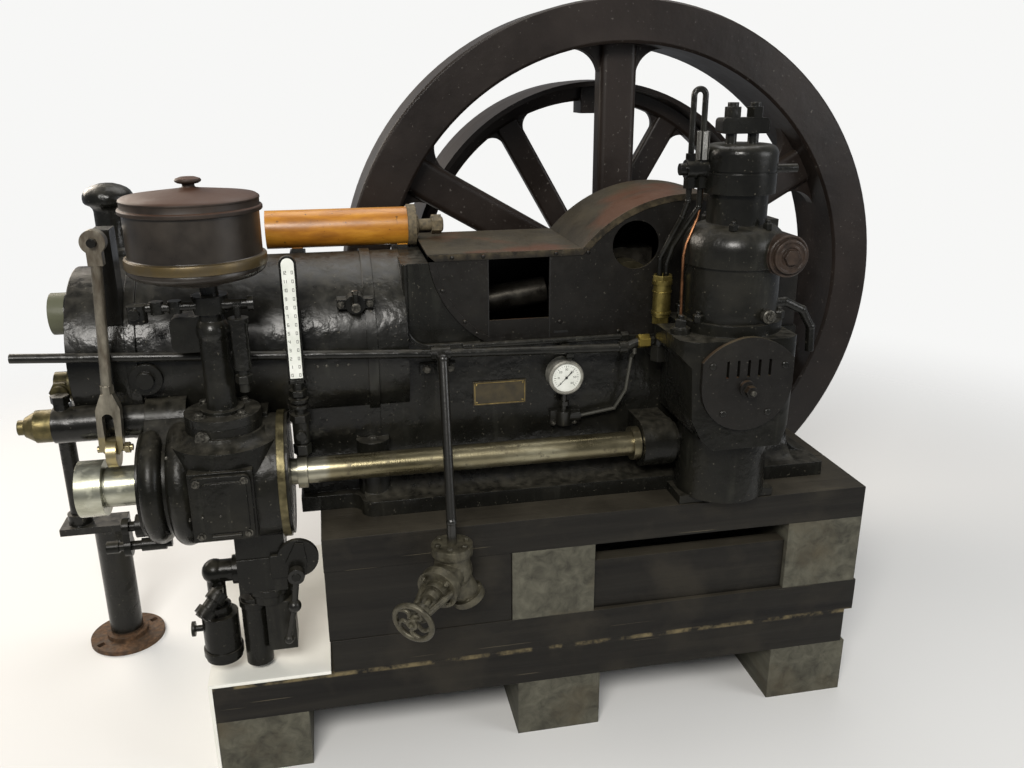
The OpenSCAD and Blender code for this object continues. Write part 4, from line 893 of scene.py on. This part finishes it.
# Bolts of the small fittings on the bed
# Steel nuts, studs and plugs that hold the cock, the brackets and the small flanges to
# the bed and the jacket.
JACKET_R = 225
bm = bmesh.new()
for x in (-694, -634):
    hex_bolt(bm, (x, -190, 1017), -Y, 17, 9, washer=11, turn=12)
for x in (-362, -304):
    hex_bolt(bm, (x, -192, 846), -Y, 15, 9, stud=6, turn=8)
for x in (-899, -829):
    hex_bolt(bm, (x, -207, 1200), -Y, 15, 9, washer=9, stud=4, turn=5)
for x in (-965, -943, -917, -890):
    rivet(bm, (x, -math.sqrt(JACKET_R ** 2 - 12 ** 2), 1053), -Y, 4)
for y in (-188, 188):
    turned(bm, (-840, y, 840), Z, [(15, -0.5), (15, 1.5), (10, 1.5), (9, 5), (0, 6)], 24)
turned(bm, (-864, -246, 1200), -Y, [(11, -1), (11, 5), (8, 6), (6, 6), (6, 2), (0, 2)])
hex_bolt(bm, (-864, -236, 1232), Z, 15, 8)
finish("fitting_bolts", bm, bolt_steel)

# Brass plate
# A bare cast plate, dark with grime, with a raised rim that is rubbed bright. Four small
# screws hold it to the bed.
GRIME_DARK, GRIME_LIGHT = (0.016, 0.012, 0.0048), (0.050, 0.037, 0.014)
RIM_BRASS_DARK, RIM_BRASS_LIGHT = (0.12, 0.085, 0.03), (0.40, 0.30, 0.12)
PLATE_X, PLATE_Z = (-571, -436), (907, 967)
PLATE_Y = 1000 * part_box("name_plate")[0].y
RIM_W, SCREW_IN = 2, 6
plate_brass, t, shader = new_material("plate_brass")
coat(t, shader, mottle(t, noise(t, 0.03, 4), GRIME_DARK, GRIME_LIGHT))
settle(shader, roughness=0.32)
add_bump(t, shader, [(noise(t, 0.01, 3), 0.2, 0.001)], 0.0015)
dress(plate_brass, "name_plate")
rim_brass, t, shader = new_material("rim_brass")
coat(t, shader, mottle(t, noise(t, 0.02, 4), RIM_BRASS_DARK, RIM_BRASS_LIGHT))
settle(shader, metallic=0.9, roughness=0.35)
bm = bmesh.new()
x0, x1 = PLATE_X
z0, z1 = PLATE_Z
for rim in ((x0, x1, z0, z0 + RIM_W), (x0, x1, z1 - RIM_W, z1),
            (x0, x0 + RIM_W, z0, z1), (x1 - RIM_W, x1, z0, z1)):
    slab(bm, *rim, PLATE_Y - 1, PLATE_Y)
for x in (x0 + SCREW_IN, x1 - SCREW_IN):
    for z in (z0 + SCREW_IN, z1 - SCREW_IN):
        rivet(bm, (x, PLATE_Y, z), -Y, 2.6)
finish("plate_rim", bm, rim_brass)

# Brass filter
# A turned brass body with two rings and a hexagon cap, screwed on a fitting that is
# painted like the engine.
BRASS_DARK, BRASS_LIGHT = (0.11, 0.086, 0.022), (0.38, 0.30, 0.095)
FILTER = (-93, -248)
old_brass, t, shader = new_material("old_brass")
tarnish = noise(t, 0.03, 4, 0.6)
coat(t, shader, mottle(t, tarnish, BRASS_DARK, BRASS_LIGHT))
settle(shader, metallic=0.9)
sheen(t, shader, tarnish, 0.42, 0.26)
overlay(t, shader, between(t, "Z", 900, 1119.5), PLAIN_ENAMEL, 0.32)
add_bump(t, shader, [(noise(t, 0.01, 3), 0.2, 0.001)], 0.0015)
dress(old_brass, "oil_filter")
bm = bmesh.new()
turned(bm, (*FILTER, 1230), Z, [(27, 0), (27, 14), (25, 16), (21, 16), (20, 10)], 6, 10)
turned(bm, (*FILTER, 1200), Z, [(22.5, 0), (25, 1.5), (25, 5), (22.5, 6.5)], 40)
turned(bm, (*FILTER, 1144), Z, [(22.5, 0), (25.5, 1.5), (25.5, 8), (22.5, 9.5)], 40)
finish("filter_rings", bm, old_brass)

# Pressure gauge
# Grey cast case with a bright ring, a white enamelled dial with black marks and plain
# numbers, and a black needle. It is screwed on a cock with a thin pipe, both painted.
GAUGE_DARK, GAUGE_LIGHT, GAUGE_PAINT = (0.16, 0.155, 0.13), (0.34, 0.33, 0.29), (0.0095, 0.0090, 0.0070)
THIN_PIPE = (0.06, 0.058, 0.048)
ENAMEL_SHADE, ENAMEL_WHITE = (0.62, 0.64, 0.58), (0.76, 0.77, 0.72)
MARK_DARK, MARK_LIGHT = (0.008, 0.008, 0.008), (0.014, 0.014, 0.013)
GX, GY, GZ = -334, -220, 979
GAUGE = (GX, GY, GZ)
FIRST_MARK, SWEEP = 225, 270
MARK_FACE = GY - 1.5
gauge_grey, t, shader = new_material("gauge_grey")
coat(t, shader, mottle(t, noise(t, 0.02), GAUGE_DARK, GAUGE_LIGHT))
settle(shader, metallic=0.3, roughness=0.38)
overlay(t, shader, between(t, "Z", 700, 932), GAUGE_PAINT, 0.32)
overlay(t, shader, between(t, "X", -286, 0), THIN_PIPE, 0.35, 0.4)
add_bump(t, shader, [(noise(t, 0.006, 3), 0.15, 0.0006)], 0.0015)
dress(gauge_grey, "pressure_gauge")
white_enamel, t, shader = new_material("white_enamel")
coat(t, shader, mottle(t, noise(t, 0.03, 4), ENAMEL_SHADE, ENAMEL_WHITE))
settle(shader, roughness=0.22)
mark_black, t, shader = new_material("mark_black")
coat(t, shader, mottle(t, noise(t, 0.01, 2), MARK_DARK, MARK_LIGHT))
settle(shader, roughness=0.4)

# each stroke of a number runs from one corner of its box to another
STROKES = {"a": (0, 1, 1, 1), "b": (1, 0.5, 1, 1), "c": (1, 0, 1, 0.5), "d": (0, 0, 1, 0),
           "e": (0, 0, 0, 0.5), "f": (0, 0.5, 0, 1), "g": (0, 0.5, 1, 0.5)}
DIGITS = ("abcdef", "bc", "abged", "abgcd", "fgbc", "afgcd", "afgedc", "abc", "abcdefg", "abcdfg")


def digit(bm, n, x, z, width, height, y, thick):
    """A plain number made of straight strokes, standing in the x and z directions."""
    for key in DIGITS[n]:
        u0, v0, u1, v1 = STROKES[key]
        slab(bm, x + (u0 - 0.5) * width - thick / 2, x + (u1 - 0.5) * width + thick / 2,
             z + (v0 - 0.5) * height - thick / 2, z + (v1 - 0.5) * height + thick / 2, y - 0.25, y)


def clock_hand(bm, outline, degrees, y0, y1):
    """A mark or needle given as (along, across) points and turned about the dial."""
    c, s = math.cos(math.radians(degrees)), math.sin(math.radians(degrees))
    plate(bm, [(GX + r * c - h * s, GZ + r * s + h * c) for r, h in outline], y0, y1)


bm = bmesh.new()
turned(bm, GAUGE, -Y, [(38.5, 0), (38.5, 5), (43, 6), (46.5, 3), (46.5, 0), (46.5, -3), (38.5, -0.5)], 64)
finish("gauge_ring", bm, gauge_grey)
bm = bmesh.new()
turned(bm, GAUGE, -Y, [(39, -0.5), (39, 1.5), (0, 1.5)], 64)
finish("gauge_dial", bm, white_enamel)
bm = bmesh.new()
for i in range(25):
    start, half = (29.5, 0.35) if i % 4 else (27, 0.6)
    tick = [(start, -half), (33, -half), (33, half), (start, half)]
    clock_hand(bm, tick, FIRST_MARK - SWEEP * i / 24, GY - 1.75, MARK_FACE)
for n in range(7):
    a = math.radians(FIRST_MARK - SWEEP * n / 6)
    x, z = GX + 22 * math.cos(a), GZ + 22 * math.sin(a)
    for figure, shift in ((n, -2), (0, 2.4)) if n else ((0, 0),):
        digit(bm, figure, x + shift, z, 2.4, 4.6, MARK_FACE, 0.7)
needle = [(-20, -2.2), (-15, -1.2), (-4, -0.9), (30, -0.35)]
clock_hand(bm, needle + [(r, -h) for r, h in needle[::-1]], FIRST_MARK, GY - 3.2, GY - 2.6)
turned(bm, GAUGE, -Y, [(3.4, 1.5), (3.4, 3.6), (2.2, 4.4), (0, 4.6)])
finish("gauge_marks", bm, mark_black)

# Sight scale
# A white enamelled strip with plain numbers lies in the black frame, behind a thin lip.
# The frame stands on a cock that is screwed into the jacket.
SX, SY = -1014, -280
STRIP_HALF, STRIP_LOW = 14.5, 1044
LIP_HALF, LIP_LOW, LIP_W, LIP_T = 19.2, 1031, 2.6, 3.0
SCALE_TOP = 1318
FIRST_NUMBER, NUMBER_STEP = 1052, 20.6
bm = bmesh.new()
strip = [(SX - STRIP_HALF, STRIP_LOW), (SX + STRIP_HALF, STRIP_LOW)]
plate(bm, strip + arc(SX, SCALE_TOP, STRIP_HALF, 0, 180, 12), SY - 1, SY)
finish("scale_strip", bm, white_enamel)
bm = bmesh.new()
for k in range(13):
    left = [(k, -9, 3.6)] if k < 10 else [(1, -11, 3.0), (k - 10, -6, 3.0)]
    for figure, x, width in left + [(0, 9, 3.6)]:
        digit(bm, figure, SX + x, FIRST_NUMBER + NUMBER_STEP * k, width, 7, SY - 1, 1.0)
finish("scale_marks", bm, mark_black)
bm = bmesh.new()
lip = [(SX - LIP_HALF, LIP_LOW)] + arc(SX, SCALE_TOP, LIP_HALF, 180, 0, 16) + [(SX + LIP_HALF, LIP_LOW)]
band(bm, lip, LIP_W, SY - LIP_T, SY)
slab(bm, SX - LIP_HALF, SX + LIP_HALF, LIP_LOW, LIP_LOW + 9, SY - LIP_T, SY)
finish("scale_lip", bm, engine_paint)

# Compressor head, cylinder and their fastenings
# Painted castings on top of the crank case, with a bright sleeve on the head and a brown
# valve cap on the cylinder. Nuts on studs hold the cylinder, the head and the cover.
SLEEVE = (0.62, 0.60, 0.55)
CAP_DARK, CAP_LIGHT = (0.014, 0.0095, 0.0070), (0.042, 0.028, 0.020)
CX, CY = 56, -330
CAP_X, CAP_Z = 134, 1322
head_paint, t, shader = copy_of(engine_paint, "head_paint")
sleeve = both(t, round_mask(t, "XY", (CRANK_X - 0.042, -0.330), 15.6, 0.6), between(t, "Z", 1537, 1601.5))
overlay(t, shader, sleeve, SLEEVE, 0.25, 0.9)
dress(head_paint, "high_stage_head")
cylinder_paint, t, shader = copy_of(engine_paint, "cylinder_paint")
cap_centre = (CRANK_X + CAP_X / 1000, CAP_Z / 1000)
capped = both(t, between(t, "Y", -500, -428), round_mask(t, "XZ", cap_centre, 51, 1))
overlay(t, shader, capped, mottle(t, noise(t, 0.02, 4, 0.65), CAP_DARK, CAP_LIGHT), 0.36)
dress(cylinder_paint, "low_stage_cylinder")

bm = bmesh.new()
FOOT_STUDS, HEAD_STUDS = (-28, -152, 28, 152), (-62, -118, 62, 118)
for a, place in zip(FOOT_STUDS, around((CX, CY, 1156), 120, FOOT_STUDS)):
    hex_bolt(bm, place, Z, 24, 18, stud=8, turn=a)
hex_bolt(bm, (-92, -380, 1142), Z, 26, 20, washer=20, stud=10, turn=10)
for a, place in zip(HEAD_STUDS, around((CX, CY, 1379), 92, HEAD_STUDS)):
    hex_bolt(bm, place, Z, 20, 15, stud=7, turn=a)
for x, z in ((-48, 1072), (137, 1065), (-14, 950), (102, 947)):
    turned(bm, (x, -487, z), -Y, [(8.5, -0.5), (8.5, 1.6), (6.5, 3.2), (0, 3.8)], 18)
finish("compressor_bolts", bm, engine_paint)
bm = bmesh.new()
inner_ring = [(40, -2), (40, 1.5), (38, 2.5), (34, 2.5), (33, 0.5), (27, 0.5), (26, 2), (22, 2), (21, -1)]
turned(bm, (CAP_X, -470, CAP_Z), -Y, inner_ring, 48)
turned(bm, (CAP_X, -460, CAP_Z), -Y, [(50, -3), (50, 1), (48, 2.5), (44, 2.5), (43, -1)], 48)
finish("valve_cap_rings", bm, cylinder_paint)
bm = bmesh.new()
turned(bm, (46, -512, 1008), -Y, [(7, -0.5), (7, 8), (5.5, 10), (0, 10)], 16)
turned(bm, (100, -455, 1177), -Y, [(17, -12), (17, 4), (14, 6)], 24)
hex_bolt(bm, (100, -459, 1177), -Y, 16, 9)
finish("cover_stud", bm, bolt_steel)

# Copper pipe at the compressor's left
# A thin drawn pipe of old copper that runs down from the head to the crank case, in front
# of the painted pipes, and is bent by hand.
COPPER_DARK, COPPER_LIGHT = (0.07, 0.032, 0.015), (0.28, 0.130, 0.062)
COPPER_ROUTE = [(-36, -330, 1476), (-38, -330, 1430), (-44, -331, 1400), (-58, -334, 1368), (-72, -338, 1338),
                (-78, -340, 1310), (-79, -342, 1270), (-79, -345, 1200), (-79, -350, 1126)]
copper, t, shader = new_material("old_copper")
coat(t, shader, mottle(t, noise(t, 0.03, 4, 0.6), COPPER_DARK, COPPER_LIGHT))
settle(shader, metallic=0.9, roughness=0.35)
add_bump(t, shader, [(noise(t, 0.01, 2), 0.1, 0.0006)])
bm = bmesh.new()
swept(bm, COPPER_ROUTE, 3.5, 10)
finish("copper_pipe", bm, copper)
